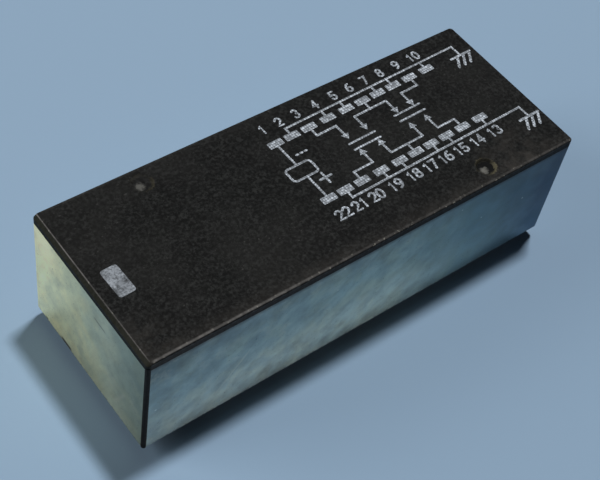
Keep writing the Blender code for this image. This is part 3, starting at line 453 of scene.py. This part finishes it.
def cover_black():
    """Matt black moulding: spark-eroded grain, dust in the hollows, edges rubbed grey with a painted highlight,
    glossy gate marks with painted highlights, and painted shade that makes the lip and the post a deeper black.
    """
    f = Finish("cover_black", roughness=0.6, Specular_IOR_Level=0.09)
    top = COVER_HIGH.z
    to_side = (COVER_HIGH.y - abs(f.y)) * MM_PER_METRE
    to_right = (COVER_HIGH.x - f.x) * MM_PER_METRE
    to_left = (f.x - COVER_LOW.x) * MM_PER_METRE
    grain = f.noise(0.24 * MM, 4.0, 0.7)
    cloud = f.noise(4.0 * MM, 3.0)
    patchy = f.ease(f.noise(0.8 * MM, 4.0, 0.65), 0.36, 0.66)

    # Wear along the front edge, the right edge and the chamfer's crease, partly a painted highlight, with pale
    # specks that are partly painted glints
    upper = f.ease(f.z, top - 0.30 * MM, top - 0.10 * MM)
    level = f.ease(f.z, top - 0.06 * MM, top - 0.01 * MM)
    on_front = f.ease(f.y, 2.0 * MM, -2.0 * MM, 0.12, 1.0)
    side_edge = f.fade(to_side, 0.12, 0.26) * f.ease(to_side, 0.0, 0.06) * on_front
    side_edge = side_edge * f.ease(to_left, 0.25, 0.7)
    right_edge = f.fade(to_right, 0.04, 0.2)
    handled = f.ease(f.x, 2.0 * MM, -14.0 * MM, 0.28, 1.0)
    crease = f.fade(abs(to_left - CREASE_X), 0.01, 0.06) * f.ease(f.y, -4.0 * MM, 6.0 * MM, 0.8, 1.5)
    crease = crease * f.ease(f.y, COVER_LOW.y + 0.15 * MM, COVER_LOW.y + 0.6 * MM)
    rubbed = (side_edge * handled + right_edge * 0.12) * level * (0.45 + patchy * 0.55)
    rubbed = rubbed + crease * upper * (0.35 + patchy * 0.4)
    glinting_specks = f.ease(f.noise(0.2 * MM, 1.0), 0.62, 0.72) * (side_edge * (0.3 + patchy * 0.5) + crease) * upper

    # Grain, dust and the haze of handling, then the wear with its painted highlight, and last painted shade that
    # makes the lip and the post a deeper black
    dust = f.ease(f.noise(0.19 * MM, 2.0), 0.64, 0.76) * f.ease(cloud, 0.36, 0.62)
    grit = f.ease(grain, 0.40, 0.68) * f.ease(f.noise(0.7 * MM, 4.0, 0.65), 0.36, 0.64, 0.45, 1.35)
    haze = sum(f.fade(f.from_point(x, y, top), near, far, strength) for x, y, near, far, strength in HANDLED_SPOTS)
    haze = haze * patchy + f.fade(to_side, 0.3, 1.3, 0.9) * on_front * (0.4 + patchy * 0.6)
    colour = f.mix((0.0004, 0.0005, 0.0005), (0.0166, 0.0176, 0.0178), grit)
    colour = f.mix(colour, (0.0146, 0.0148, 0.0144), f.ease(cloud, 0.4, 0.7) * 0.4)
    colour = f.mix(colour, (0.045, 0.045, 0.045), dust * 0.75)
    colour = f.mix(colour, (0.050, 0.046, 0.043), haze * 0.27)
    colour = f.mix(colour, (0.015, 0.016, 0.010), f.fade(to_left, 0.22, 0.28, 0.6))
    # Grey wear on the edges and the crease, partly a painted highlight along them
    colour = f.mix(colour, (0.185, 0.180, 0.180), rubbed * 0.75)
    colour = f.mix(colour, (0.34, 0.33, 0.29), glinting_specks * 0.8)
    # Painted shade: the lip and the post below the top made a deeper black than the top
    colour = f.mix(colour, (0.0, 0.0, 0.0), f.ease(f.z, top - 0.18 * MM, top - 0.28 * MM) * 0.8)

    # Gate marks: a glossy near-black hollow, a ragged rim with a painted highlight on one side, and a painted glint
    # as a pale spot
    glossy = 0.0
    for gate_x, gate_y, strength in GATE_MARKS:
        ragged = (f.noise(0.22 * MM, 3.0, 0.6) - 0.5) * 0.5
        away = f.from_point(gate_x, gate_y, top - 0.1 * MM)
        from_glint = f.from_point(gate_x - 0.28, gate_y - 0.15, top)
        beside, behind = f.x * MM_PER_METRE - gate_x, f.y * MM_PER_METRE - gate_y
        painted_rim_light = f.ease(beside * 0.7 - behind * 0.7, 0.2, 0.7) + f.ease(behind - beside * 0.3, 0.55, 0.85, 0.0, 0.5)
        painted_rim_highlight = f.fade(abs(away + ragged - GATE_RADIUS), 0.02, 0.16) * (0.12 + painted_rim_light)
        painted_glint = f.fade(from_glint + ragged, 0.12, 0.42)
        colour = f.mix(colour, (0.003, 0.003, 0.003), f.fade(away, 0.60, 0.72, strength) * 0.8)
        colour = f.mix(colour, (0.088, 0.080, 0.052), painted_rim_highlight * strength)
        colour = f.mix(colour, (0.20, 0.20, 0.19), painted_glint * (0.32 + 0.4 * strength))
        glossy = f.fade(away, 0.55, 0.72, strength) + glossy

    rough = f.ease(grain, 0.3, 0.7, 0.66, 0.54) - glossy * 0.32
    height = grain * 0.7 + f.noise(0.34 * MM, 2.0) * 0.3
    return f.paint(Base_Color=colour, Roughness=rough, Normal=f.bump(height, 0.014 * MM, 0.7))


def shield_metal():
    """Nickel silver sheet: rolling lines, cloudy tarnish, slanted wipe marks, pits, smudges and scratches.

    Painted reflections and shade colour it: it is warm and light at the rear of its left end, grey-green towards
    the seam, and bluer and darker along the front, lighter towards the front's foot and darker under its top.
    """
    f = Finish("shield_nickel_silver", roughness=0.4, metallic=1.0)
    low, high = SHIELD_LOW, SHIELD_HIGH
    cloud = f.noise(3.4 * MM, 3.0, 0.55)
    mottle = f.noise(1.0 * MM, 4.0, 0.6)
    front_wipe = f.noise(0.9 * MM, 4.0, 0.55, f.stretched(x=1.9, turn=(0.0, -42.0, 0.0)))
    end_wipe = f.noise(0.9 * MM, 5.0, 0.6, f.stretched(z=2.2, turn=(27.0, 0.0, 0.0)))
    rolling = f.noise(0.05 * MM, 2.0, 0.5, f.stretched(x=30.0, y=30.0))
    on_end = f.ease(abs(f.x), high.x - 0.30 * MM, high.x - 0.12 * MM)
    on_left = on_end * f.ease(f.x, 0.0, -1.0 * MM)
    on_front = f.ease(f.y, low.y + 0.30 * MM, low.y + 0.12 * MM) * f.ease(f.x, high.x, high.x - 0.10 * MM)
    wiped = front_wipe + (end_wipe - front_wipe) * on_end
    along = (f.x - low.x) / (high.x - low.x) + (cloud - 0.5) * 0.2

    # The front, with painted light: a painted reflection of the lit floor makes it lighter towards its foot, and
    # painted shade makes it darker towards its top, under the lip's edge and most of all beside the post
    colour = f.ramp(along, *FRONT_METAL_AND_REFLECTION_COLOURS)
    painted_shade_by_post = f.ease(f.z, high.z - 2.2 * MM, high.z - 0.8 * MM) * f.ease(f.x, low.x + 4.6 * MM, low.x + 1.2 * MM)
    for painted_light, share in (
        ((2.15, 1.80, 1.65), f.ease(f.z, high.z - 2.9 * MM, low.z + 0.7 * MM)),
        ((0.76, 0.76, 0.77), f.ease(f.z, high.z - 2.6 * MM, high.z - 0.6 * MM)),
        ((0.45, 0.45, 0.46), f.ease(f.z, high.z - 0.40 * MM, high.z - 0.04 * MM)),
        ((0.64, 0.72, 0.74), painted_shade_by_post),
    ):
        colour = f.mix(colour, painted_light, share, "MULTIPLY")

    # The rear and the right end, with a painted warm reflection towards the left end and a painted dark reflection
    # towards the front, then the left end, whose painted reflection colours lean along its height, lightest at its
    # upper rear
    elsewhere = f.mix((0.36, 0.41, 0.40), (0.40, 0.44, 0.42), f.ease(cloud, 0.35, 0.65))
    elsewhere = f.mix(elsewhere, (0.66, 0.65, 0.45), f.ease(f.x, low.x + 7.0 * MM, low.x, 0.0, 0.8))
    elsewhere = f.mix(elsewhere, (0.07, 0.12, 0.16), f.ease(f.y, 2.0 * MM, low.y, 0.0, 0.85))
    colour = f.mix(elsewhere, colour, on_front)
    painted_light_lean = f.ease(f.y, -1.0 * MM, 4.0 * MM, -0.10, 0.16)
    back = (f.y - low.y) / (high.y - low.y) + (f.ease(f.z, low.z, high.z) - 0.5) * painted_light_lean + (cloud - 0.5) * 0.25
    colour = f.mix(colour, f.ramp(back, *END_METAL_AND_REFLECTION_COLOURS), on_left)

    # Wipe marks and tarnish, calmer towards the right and on the left end
    clear = f.fade(along, 0.55, 0.80) * f.ease(f.y, 3.0 * MM, high.y, 1.0, 0.3)
    contrast = (0.4 + clear * 0.6) * (1.0 - on_left) + on_left * 0.7
    shade = 1.0 + ((wiped - 0.5) * 0.95 + (mottle - 0.5) * 0.85) * contrast
    colour = f.mix(colour, shade, 1.0, "MULTIPLY")
    tone = f.mix((0.92, 0.98, 1.04), (1.08, 1.02, 0.93), f.ease(f.noise(1.7 * MM, 4.0, 0.6), 0.42, 0.62))
    colour = f.mix(colour, tone, 0.55 - on_left * 0.2, "MULTIPLY")
    colour = f.mix(colour, (0.40, 0.38, 0.30), f.ease(mottle, 0.52, 0.75) * clear * 0.25)
    colour = f.mix(colour, (0.10, 0.14, 0.16), f.ease(f.noise(2.2 * MM, 3.0, 0.5), 0.54, 0.74) * clear * 0.25)

    # Single marks, pits, bright flecks and a dirty foot
    smudges = sum(near_line(f, "yz", *line) for line in END_SMUDGES) * on_left
    colour = f.mix(colour, (0.03, 0.035, 0.03), smudges)
    scratches = sum(near_line(f, "xz", *line) for line in FRONT_SCRATCHES) * f.ease(f.y, 0.0, -1.0 * MM)
    scratches = scratches + near_line(f, "yz", *END_SCRATCH) * on_left
    colour = f.mix(colour, (0.62, 0.60, 0.48), scratches)
    pits = f.ease(f.noise(0.13 * MM, 1.0), 0.69, 0.77)
    colour = f.mix(colour, (0.06, 0.07, 0.07), pits * 0.5)
    flecks = f.fade(f.cells(1.9 * MM), 0.025, 0.05)
    colour = f.mix(colour, (0.75, 0.77, 0.74), flecks * 0.4)
    foot = f.fade(f.z, low.z + 0.02 * MM, low.z + 0.20 * MM) * f.ease(f.noise(0.24 * MM, 3.0), 0.46, 0.62)
    colour = f.mix(colour, (0.05, 0.06, 0.06), foot * 0.6)

    # The left end is duller, most of all at its upper rear
    pale = f.ease(f.z, high.z - 3.6 * MM, high.z - 0.8 * MM) * f.ease(f.y, 2.5 * MM, 5.5 * MM)
    metallic = 1.0 - on_left * (0.4 + pale * 0.55)
    rough = 0.31 + on_left * 0.05 + f.ease(cloud, 0.3, 0.7, 0.0, 0.08) + (mottle - 0.5) * 0.14 + (wiped - 0.5) * 0.12
    height = rolling * 0.35 + mottle * 0.35 + wiped * 0.3
    return f.paint(Base_Color=colour, Roughness=rough, Metallic=metallic, Normal=f.bump(height, 0.006 * MM, 0.6))


def print_ink():
    """Off-white ink laid down in small dots, thin and worn, so that the black shows between and through them."""
    f = Finish("print_ink", roughness=0.6, Specular_IOR_Level=0.3)
    dots = f.node(
        "ShaderNodeTexVoronoi", {}, Vector=f.stretched(turn=(0.0, 0.0, math.degrees(PRINT_TILT))),
        Scale=1.0 / (0.19 * MM), Randomness=0.35
    )
    on_block = f.ease(f.x, -12.0 * MM, -13.0 * MM)
    inked = f.ease(dots, 0.30, 0.62, 1.0, 0.30 + on_block * 0.5)
    worn = f.ease(f.noise(0.13 * MM, 3.0, 0.7), 0.32, 0.58)
    patch = f.ease(f.noise(0.9 * MM, 3.0, 0.6), 0.32, 0.58)
    rubbed = on_block * f.ease(f.noise(0.45 * MM, 4.0, 0.7), 0.42, 0.66, 0.36, 0.85)
    chipped = f.fade(f.from_point(*INK_CHIP, COVER_HIGH.z), 0.10, 0.50, 0.95) * (1.0 - worn * 0.5)
    cover = inked * (0.40 + worn * 0.60) * (0.68 + patch * 0.32) * (1.0 - rubbed) * (1.0 - chipped)
    cover = cover * (1.0 - on_block * 0.14)
    colour = f.mix((0.014, 0.017, 0.021), (0.70, 0.78, 0.90), cover)
    return f.paint(Base_Color=colour, Normal=f.bump(cover, 0.006 * MM, 0.6))


def moulded(name, light, dark, roughness=0.5, grain_size=0.12 * MM):
    """A moulded plastic: cloudy flow marks, fine grain and a trace of dust."""
    f = Finish(name, roughness=roughness)
    flow = f.noise(2.5 * MM, 4.0, 0.6)
    grain = f.noise(grain_size, 3.0)
    colour = f.mix(dark, light, f.ease(flow, 0.3, 0.7))
    dust = f.ease(f.noise(0.2 * MM, 2.0), 0.64, 0.76)
    colour = f.mix(colour, tuple(min(1.0, c * 1.3 + 0.05) for c in light), dust * 0.4)
    rough = f.ease(grain, 0.3, 0.7, roughness - 0.07, roughness + 0.09)
    return f.paint(Base_Color=colour, Roughness=rough, Normal=f.bump(grain, 0.010 * MM, 0.5))


def plated(name, light, dark, roughness=0.32, line_axis="x", tarnish=(0.2, 0.17, 0.12)):
    """A metal sheet: rolling lines along one axis, dull patches and small dark pits."""
    f = Finish(name, roughness=roughness, metallic=1.0)
    lines = f.noise(0.06 * MM, 2.0, 0.5, f.stretched(**{line_axis: 25.0}))
    cloud = f.noise(0.9 * MM, 4.0, 0.6)
    colour = f.mix(dark, light, f.ease(cloud, 0.3, 0.65))
    colour = f.mix(colour, tarnish, f.ease(f.noise(0.35 * MM, 3.0), 0.6, 0.78) * 0.45)
    rough = roughness + f.fade(cloud, 0.3, 0.7, 0.14) + (lines - 0.5) * 0.12
    return f.paint(Base_Color=colour, Roughness=rough, Normal=f.bump(lines * 0.6 + cloud * 0.4, 0.006 * MM, 0.6))


def wound_copper():
    """Enamelled wire: fine turns side by side along the coil, with a ripple where layers cross."""
    f = Finish("enamelled_copper", roughness=0.28, metallic=0.85)
    turns = f.node(
        "ShaderNodeTexWave", {"bands_direction": "X"}, Vector=f.place, Scale=1.0 / (1.1 * MM), Distortion=0.6,
        Detail=2.0, Detail_Scale=1.5
    )
    cloud = f.noise(1.5 * MM, 3.0)
    colour = f.mix((0.26, 0.07, 0.025), (0.55, 0.20, 0.08), f.ease(cloud, 0.3, 0.7))
    # Painted shade in the grooves between the turns
    colour = f.mix(colour, (0.09, 0.025, 0.01), f.ease(turns, 0.25, 0.0) * 0.7)
    return f.paint(
        Base_Color=colour, Roughness=f.ease(cloud, 0.3, 0.7, 0.34, 0.24), Normal=f.bump(turns, 0.03 * MM, 0.8)
    )


def cured_resin():
    """Dark poured sealing: glossy, with a slow ripple, small trapped bubbles and dust."""
    f = Finish("sealing_epoxy", roughness=0.16)
    ripple = f.noise(1.8 * MM, 2.0)
    bubble = f.fade(f.cells(0.55 * MM), 0.10, 0.16)
    dust = f.ease(f.noise(0.2 * MM, 2.0), 0.62, 0.76)
    colour = f.mix((0.032, 0.023, 0.014), (0.050, 0.036, 0.021), f.ease(ripple, 0.3, 0.7))
    colour = f.mix(colour, (0.16, 0.13, 0.09), bubble * 0.4 + dust * 0.25)
    rough = 0.13 + dust * 0.3 + f.ease(ripple, 0.3, 0.7, 0.0, 0.08)
    return f.paint(Base_Color=colour, Roughness=rough, Normal=f.bump(ripple + bubble * 0.15, 0.05 * MM, 0.5))


def sintered_magnet():
    """Dark sintered block: gritty, with ground faces and small bright chips."""
    f = Finish("magnet_grey", roughness=0.5, metallic=0.6)
    grit = f.noise(0.07 * MM, 4.0, 0.7)
    chips = f.fade(f.cells(0.3 * MM), 0.05, 0.12)
    colour = f.mix((0.07, 0.07, 0.075), (0.15, 0.15, 0.155), f.ease(grit, 0.3, 0.7))
    colour = f.mix(colour, (0.35, 0.35, 0.34), chips * 0.5)
    rough = f.ease(grit, 0.3, 0.7, 0.62, 0.42)
    return f.paint(Base_Color=colour, Roughness=rough, Normal=f.bump(grit, 0.02 * MM, 0.7))


def dress_nodes():
    """Give every CAD node its finish, and return the sealing's for the edge that creeps up."""
    tin_upright = plated("dull_tin", (0.66, 0.65, 0.62), (0.50, 0.49, 0.46), 0.34, "z")
    tin_long = plated("dull_tin_sheet", (0.66, 0.65, 0.62), (0.50, 0.49, 0.46), 0.34, "x")
    copper = wound_copper()
    resin = cured_resin()
    iron = plated("nickelled_iron", (0.46, 0.45, 0.43), (0.34, 0.34, 0.33), 0.36, "x")
    white = moulded("carrier_white", (0.72, 0.71, 0.66), (0.62, 0.61, 0.56), 0.45)
    silver = plated("contact_silver", (0.78, 0.76, 0.72), (0.66, 0.64, 0.60), 0.24, "x", (0.3, 0.26, 0.18))
    finishes = {
        "case_cover": cover_black(),
        "shield_band": shield_metal(),
        "base_plate": moulded("base_dark_plastic", (0.034, 0.034, 0.036), (0.022, 0.022, 0.024), 0.5),
        "sealing_resin": resin,
        "coil_bobbin": moulded("bobbin_ivory", (0.58, 0.53, 0.41), (0.48, 0.43, 0.32), 0.42),
        "coil_winding": copper,
        "front_coil_lead": copper,
        "rear_coil_lead": copper,
        "iron_core": iron,
        "front_armature_plate": iron,
        "rear_armature_plate": iron,
        "pivot_pin": plated("pivot_steel", (0.60, 0.60, 0.61), (0.48, 0.48, 0.50), 0.22, "z"),
        "armature_magnet": sintered_magnet(),
        "armature_holder": moulded("holder_green", (0.075, 0.20, 0.155), (0.055, 0.155, 0.12), 0.42),
        "front_ground_frame": tin_long,
        "rear_ground_frame": tin_long,
    }
    for name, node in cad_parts.items():
        if name.endswith("contact_bar"):
            finishes[name] = silver
        elif name.endswith("contact_carrier"):
            finishes[name] = white
        elif "_terminal_" in name:
            finishes[name] = tin_upright
        node.material_slots[0].material = finishes[name]
    return resin


# Print

def digit_lines(digit):
    """A digit's centre lines, as arcs of ellipses and straight runs in a box of the digits' width and height."""
    w, h = DIGIT_WIDTH, DIGIT_HEIGHT
    bowl = h * 0.29
    tail_height = h - bowl
    corner = {
        "1": [(-0.22 * w, 0.30 * h), (0.08 * w, 0.5 * h), (0.08 * w, -0.5 * h)],
        "7": [(-0.5 * w, 0.5 * h), (0.5 * w, 0.5 * h), (-0.10 * w, -0.5 * h)],
    }
    if digit in corner:
        return [(np.array(corner[digit]), False)]
    if digit == "4":
        bent = [(0.22 * w, 0.5 * h), (-0.5 * w, -0.20 * h), (0.5 * w, -0.20 * h)]
        return [(np.array(bent), False), (np.array([(0.22 * w, 0.5 * h), (0.22 * w, -0.5 * h)]), False)]
    if digit == "0":
        return [(arc(0, 0, w / 2, h / 2, 0, 345, 23), True)]
    if digit == "2":
        hook = arc(0, 0.5 * h - 0.5 * w, w / 2, w / 2, 165, -38)
        return [(np.concatenate([hook, [(-0.5 * w, -0.5 * h), (0.5 * w, -0.5 * h)]]), False)]
    if digit == "3":
        upper = arc(0, 0.26 * h, 0.44 * w, 0.24 * h, 150, -90)
        lower = arc(0, -0.24 * h, 0.5 * w, 0.26 * h, 90, -150)
        return [(np.concatenate([upper, lower[1:]]), False)]
    if digit == "5":
        flag = [(0.42 * w, 0.5 * h), (-0.36 * w, 0.5 * h), (-0.42 * w, 0.04 * h)]
        return [(np.concatenate([flag, arc(0, -0.5 * h + bowl, w / 2, bowl, 128, -150)]), False)]
    if digit == "8":
        upper = arc(0, 0.27 * h, 0.42 * w, 0.23 * h, 0, 340, 17)
        lower = arc(0, -0.23 * h, 0.5 * w, 0.27 * h, 0, 340, 17)
        return [(upper, True), (lower, True)]
    loop = arc(0, -0.5 * h + bowl, w / 2, bowl, 0, 340, 17)
    tail = arc(0.24 * w, -0.5 * h + bowl, 0.74 * w, tail_height, 88, 180)
    turned = -1 if digit == "9" else 1
    return [(loop * turned, True), (tail * turned, False)]


def number_parts(number, x, y, size):
    """A number's digits side by side, with their middle at the given place, in a share of their full size."""
    text = str(number)
    parts = []
    for i, digit in enumerate(text):
        shift = x + (i - (len(text) - 1) / 2) * DIGIT_STEP * size
        for layer, (line, closed) in enumerate(digit_lines(digit)):
            parts.append(stroke(moved(line * size, shift, y), DIGIT_LINE * size, closed, layer))
    return parts


def arrow(x, tip_y, points_up):
    """A filled arrowhead whose tip is at the given place."""
    base_y = tip_y - ARROW_LENGTH if points_up else tip_y + ARROW_LENGTH
    return plate([(x, tip_y), (x - ARROW_HALF_WIDTH, base_y), (x + ARROW_HALF_WIDTH, base_y)], 3)


def ground_symbol(rail_y):
    """The bar at the end of a rail's drop, and three slanted strokes below it."""
    bar_y = rail_y - GROUND_DROP
    bar = [(GROUND_X - GROUND_HALF_BAR, bar_y), (GROUND_X + GROUND_HALF_BAR, bar_y)]
    slants = [
        [(GROUND_X + start, bar_y), (GROUND_X + start - GROUND_STROKE_RUN, bar_y - GROUND_STROKE_DROP)]
        for start in GROUND_STROKE_X
    ]
    return [stroke(bar, GROUND_LINE, layer=3)] + [stroke(slant, GROUND_LINE, layer=4) for slant in slants]


def print_numbers():
    """Both rows of pin numbers."""
    parts = []
    for row, y, size in NUMBER_ROWS:
        for x, number in zip(COLUMNS, row):
            parts += number_parts(number, x, y, size)
    return parts


def print_pads():
    """A pad for every pin."""
    pad = rounded_box(PAD_LENGTH / 2, PAD_WIDTH / 2, PAD_CORNER, 2)
    return [plate(moved(pad, x, side * PAD_Y)) for side in (1, -1) for x in COLUMNS]


def print_rails():
    """Along each row a rail from its first grounded pad to the ground symbol, with a stub to each of the others."""
    first, *others = (COLUMNS[column] for column in RAIL_COLUMNS)
    parts = []
    for side in (1, -1):
        rail_y = side * RAIL_Y
        start = (first, side * (PAD_Y + PAD_WIDTH / 2))
        end = (GROUND_X, rail_y - GROUND_DROP)
        parts.append(stroke([start, (first, rail_y), (GROUND_X, rail_y), end], LINE_WIDTH, layer=2))
        for x in others:
            parts.append(stroke([(x, side * (PAD_Y + PAD_WIDTH / 4)), (x, rail_y)], LINE_WIDTH, layer=1))
    return parts


def print_coil():
    """The coil's box between the first two pads, with a stem to each."""
    x = COLUMNS[0]
    box = moved(rounded_box(COIL_HALF_LENGTH, COIL_HALF_WIDTH, COIL_CORNER), x, 0)
    parts = [stroke(box, LINE_WIDTH, True, 2)]
    for side in (1, -1):
        stem = [(x, side * PAD_INNER_Y), (x, side * COIL_HALF_WIDTH)]
        parts.append(stroke(stem, LINE_WIDTH, layer=1))
    return parts


def print_coil_signs():
    """A plus on one side of the coil, and three short dashes in a row as the minus on the other."""
    parts = [
        stroke([(SIGN_X - SIGN_REACH, -SIGN_Y), (SIGN_X + SIGN_REACH, -SIGN_Y)], DIGIT_LINE),
        stroke([(SIGN_X, -SIGN_Y - SIGN_REACH), (SIGN_X, -SIGN_Y + SIGN_REACH)], DIGIT_LINE, layer=1),
    ]
    for dash in (-1, 0, 1):
        x = SIGN_X + dash * DASH_STEP
        parts.append(stroke([(x - DASH_HALF, SIGN_Y), (x + DASH_HALF, SIGN_Y)], DIGIT_LINE))
    return parts


def print_contacts():
    """Each pole's two bars and four arrows, and the runs that lead from the arrows to their pads."""
    parts = []
    poles = (
        (COLUMNS[3], COLUMNS[4], LEFT_BARS_Y),
        (COLUMNS[6], COLUMNS[7], RIGHT_BARS_Y),
    )
    for left_x, right_x, bars_y in poles:
        middle_x = (left_x + right_x) / 2
        for bar_y in bars_y:
            bar = [(middle_x - BAR_HALF_LENGTH, bar_y), (middle_x + BAR_HALF_LENGTH, bar_y)]
            parts.append(stroke(bar, LINE_WIDTH, layer=4))
        closed_above = bars_y is RIGHT_BARS_Y
        upper_tip = bars_y[0] + (BAR_TOUCH if closed_above else BAR_AIR)
        lower_tip = bars_y[1] - (BAR_AIR if closed_above else BAR_TOUCH)
        for x in (left_x, right_x):
            parts += [arrow(x, upper_tip, False), arrow(x, lower_tip, True)]
            parts.append(stroke([(x, upper_tip + ARROW_LENGTH), (x, BRANCH_Y)], LINE_WIDTH, layer=1))
            parts.append(stroke([(x, lower_tip - ARROW_LENGTH), (x, -BRANCH_Y)], LINE_WIDTH, layer=1))
    runs = []
    for side in (1, -1):
        pad_y, branch_y = side * PAD_INNER_Y, side * BRANCH_Y
        runs.append([(COLUMNS[2], pad_y), (COLUMNS[2], branch_y), (COLUMNS[3], branch_y)])
        runs.append([(COLUMNS[4], branch_y), (COLUMNS[6], branch_y)])
        parts.append(stroke([(COLUMNS[5], pad_y), (COLUMNS[5], branch_y)], LINE_WIDTH, layer=1))
        runs.append([(COLUMNS[7], branch_y), (COLUMNS[8], branch_y), (COLUMNS[8], pad_y)])
    return parts + [stroke(run, LINE_WIDTH, layer=2) for run in runs]


def print_cover(ink):
    """The numbers, pads, rails, coil, contacts and signs printed on the cover, and the block by its left end."""
    block = rounded_box(BLOCK_LENGTH / 2, BLOCK_WIDTH / 2, BLOCK_CORNER, 4)
    groups = {
        "printed_pin_numbers": print_numbers(),
        "printed_pin_pads": print_pads(),
        "printed_ground_rails": print_rails(),
        "printed_ground_symbols": ground_symbol(RAIL_Y) + ground_symbol(-RAIL_Y),
        "printed_coil": print_coil(),
        "printed_coil_signs": print_coil_signs(),
        "printed_contacts": print_contacts(),
        "printed_end_block": [plate(moved(block, BLOCK_X, BLOCK_Y))],
    }
    for name, parts in groups.items():
        make_piece(name, [(on_cover(points), faces) for points, faces in parts], ink)


# Sealing

def creep(outline, low_z):
    """A fillet of resin round a pin.

    Its profile is a quarter circle, hollow side out: at b from 0 to 90 degrees it lies CREEP_RADIUS times
    (1 - sin b) away from the outline and CREEP_RADIUS times (1 - cos b) below the resin's face.
    """
    outline = np.asarray(outline, float)
    ahead = np.roll(outline, -1, axis=0) - np.roll(outline, 1, axis=0)
    ahead /= np.linalg.norm(ahead, axis=1)[:, None]
    out = -across(ahead)
    turn = np.radians(np.linspace(0, 90, CREEP_STEPS + 1))
    away = np.concatenate([CREEP_RADIUS * (1 - np.sin(turn)), [-CREEP_RADIUS / 4, -CREEP_RADIUS / 4]])
    below = np.concatenate([CREEP_RADIUS * (1 - np.cos(turn)), [CREEP_RADIUS, -CREEP_RADIUS / 4]])
    below[0] = -CREEP_RADIUS / 4
    flat = outline[:, None, :] + out[:, None, :] * away[None, :, None]
    heights = np.broadcast_to((low_z - below)[None, :, None], flat.shape[:2] + (1,))
    points = np.concatenate([flat, heights], axis=2).reshape(-1, 3)
    return points, grid_faces(len(outline), len(away), True)


def build_creep(finish):
    """The sealing's hollow edge round each of the twenty pins."""
    pitch = (middle("signal_terminal_6").x - middle("signal_terminal_3").x) / 3
    first_x = middle("coil_terminal_1").x
    row_y = abs(middle("coil_terminal_1").y)
    pin = rounded_box(PIN_WIDTH / 2, PIN_SHEET / 2, PIN_CORNER, 2)
    rings = [
        creep(moved(pin, first_x + column * pitch, side * row_y), RESIN_LOW.z)
        for side in (-1, 1) for column in range(len(COLUMNS))
    ]
    make_piece("resin_round_pins", rings, finish, smooth=True)


# Stage

def build_floor():
    """A plain pale floor, clear to a camera below it and to the rays of the lamp that lights the underside."""
    floor = Finish("floor_pale", roughness=0.8, Specular_IOR_Level=0.08)
    floor.shader.inputs["Base Color"].default_value = (*FLOOR_COLOUR, 1.0)
    clear = floor.node("ShaderNodeBsdfTransparent", {})
    below = floor.node("ShaderNodeNewGeometry", {}, output="Backfacing")
    to_lamp = floor.node("ShaderNodeLightPath", {}, output="Is Shadow Ray")
    unseen = floor.node("ShaderNodeMath", {"operation": "MAXIMUM"}, below, to_lamp)
    shader = Value(floor, floor.shader.outputs[0])
    both = floor.node("ShaderNodeMixShader", {}, unseen, shader, clear)
    floor.tree.links.new(both.socket, floor.tree.nodes["Material Output"].inputs["Surface"])
    mesh = bpy.data.meshes.new("floor")
    corners = [(x * FLOOR_REACH, y * FLOOR_REACH, 0) for x, y in ((-1, -1), (1, -1), (1, 1), (-1, 1))]
    mesh.from_pydata(corners, [], [(0, 1, 2, 3)])
    mesh.materials.append(floor.material)
    plane = bpy.data.objects.new("floor", mesh)
    bpy.context.scene.collection.objects.link(plane)


def build_lamps():
    """A small soft key lamp overhead, a weak fill from the rear left and a lamp for the underside, aimed at it."""
    for name, place, length, width, power, colour in LAMPS:
        lamp = bpy.data.lights.new(name, "AREA")
        lamp.shape = "RECTANGLE"
        lamp.size = length
        lamp.size_y = width
        lamp.energy = power
        lamp.color = colour
        made = bpy.data.objects.new(name, lamp)
        made.location = place
        made.rotation_mode = "QUATERNION"
        made.rotation_quaternion = (-Vector(place)).to_track_quat("-Z", "Y")
        bpy.context.scene.collection.objects.link(made)


def build_sky():
    """An even sky, bright in reflections and dim as a lamp, so that the shadow under the relay stays deep."""
    world = bpy.data.worlds.new("studio")
    world.use_nodes = True
    nodes, links = world.node_tree.nodes, world.node_tree.links
    dim = nodes["Background"]
    dim.inputs["Color"].default_value = (*SKY_COLOUR, 1.0)
    dim.inputs["Strength"].default_value = SKY_LIGHT
    bright = nodes.new("ShaderNodeBackground")
    bright.inputs["Color"].default_value = (*SKY_COLOUR, 1.0)
    bright.inputs["Strength"].default_value = SKY_SEEN
    rays = nodes.new("ShaderNodeLightPath")
    diffuse = nodes.new("ShaderNodeMixShader")
    links.new(rays.outputs["Is Diffuse Ray"], diffuse.inputs[0])
    links.new(bright.outputs[0], diffuse.inputs[1])
    links.new(dim.outputs[0], diffuse.inputs[2])
    links.new(diffuse.outputs[0], nodes["World Output"].inputs["Surface"])
    bpy.context.scene.world = world


def build_camera():
    """The photograph's point of view."""
    data = bpy.data.cameras.new("camera")
    data.lens = CAMERA_LENS
    data.sensor_width = CAMERA_SENSOR
    data.clip_start = CAMERA_NEAR
    data.clip_end = CAMERA_FAR
    camera = bpy.data.objects.new("camera", data)
    aim = Vector(CAMERA_AIM).normalized()
    right = aim.cross(Vector(CAMERA_UP)).normalized()
    up = right.cross(aim)
    turn = Matrix((right, up, -aim)).transposed().to_4x4()
    camera.matrix_world = Matrix.Translation(CAMERA_PLACE) @ turn
    bpy.context.scene.collection.objects.link(camera)
    bpy.context.scene.camera = camera


def main():
    resin = dress_nodes()
    print_cover(print_ink())
    build_creep(resin)
    build_floor()
    build_lamps()
    build_sky()
    build_camera()
    bpy.context.scene.view_settings.view_transform = "Standard"


main()
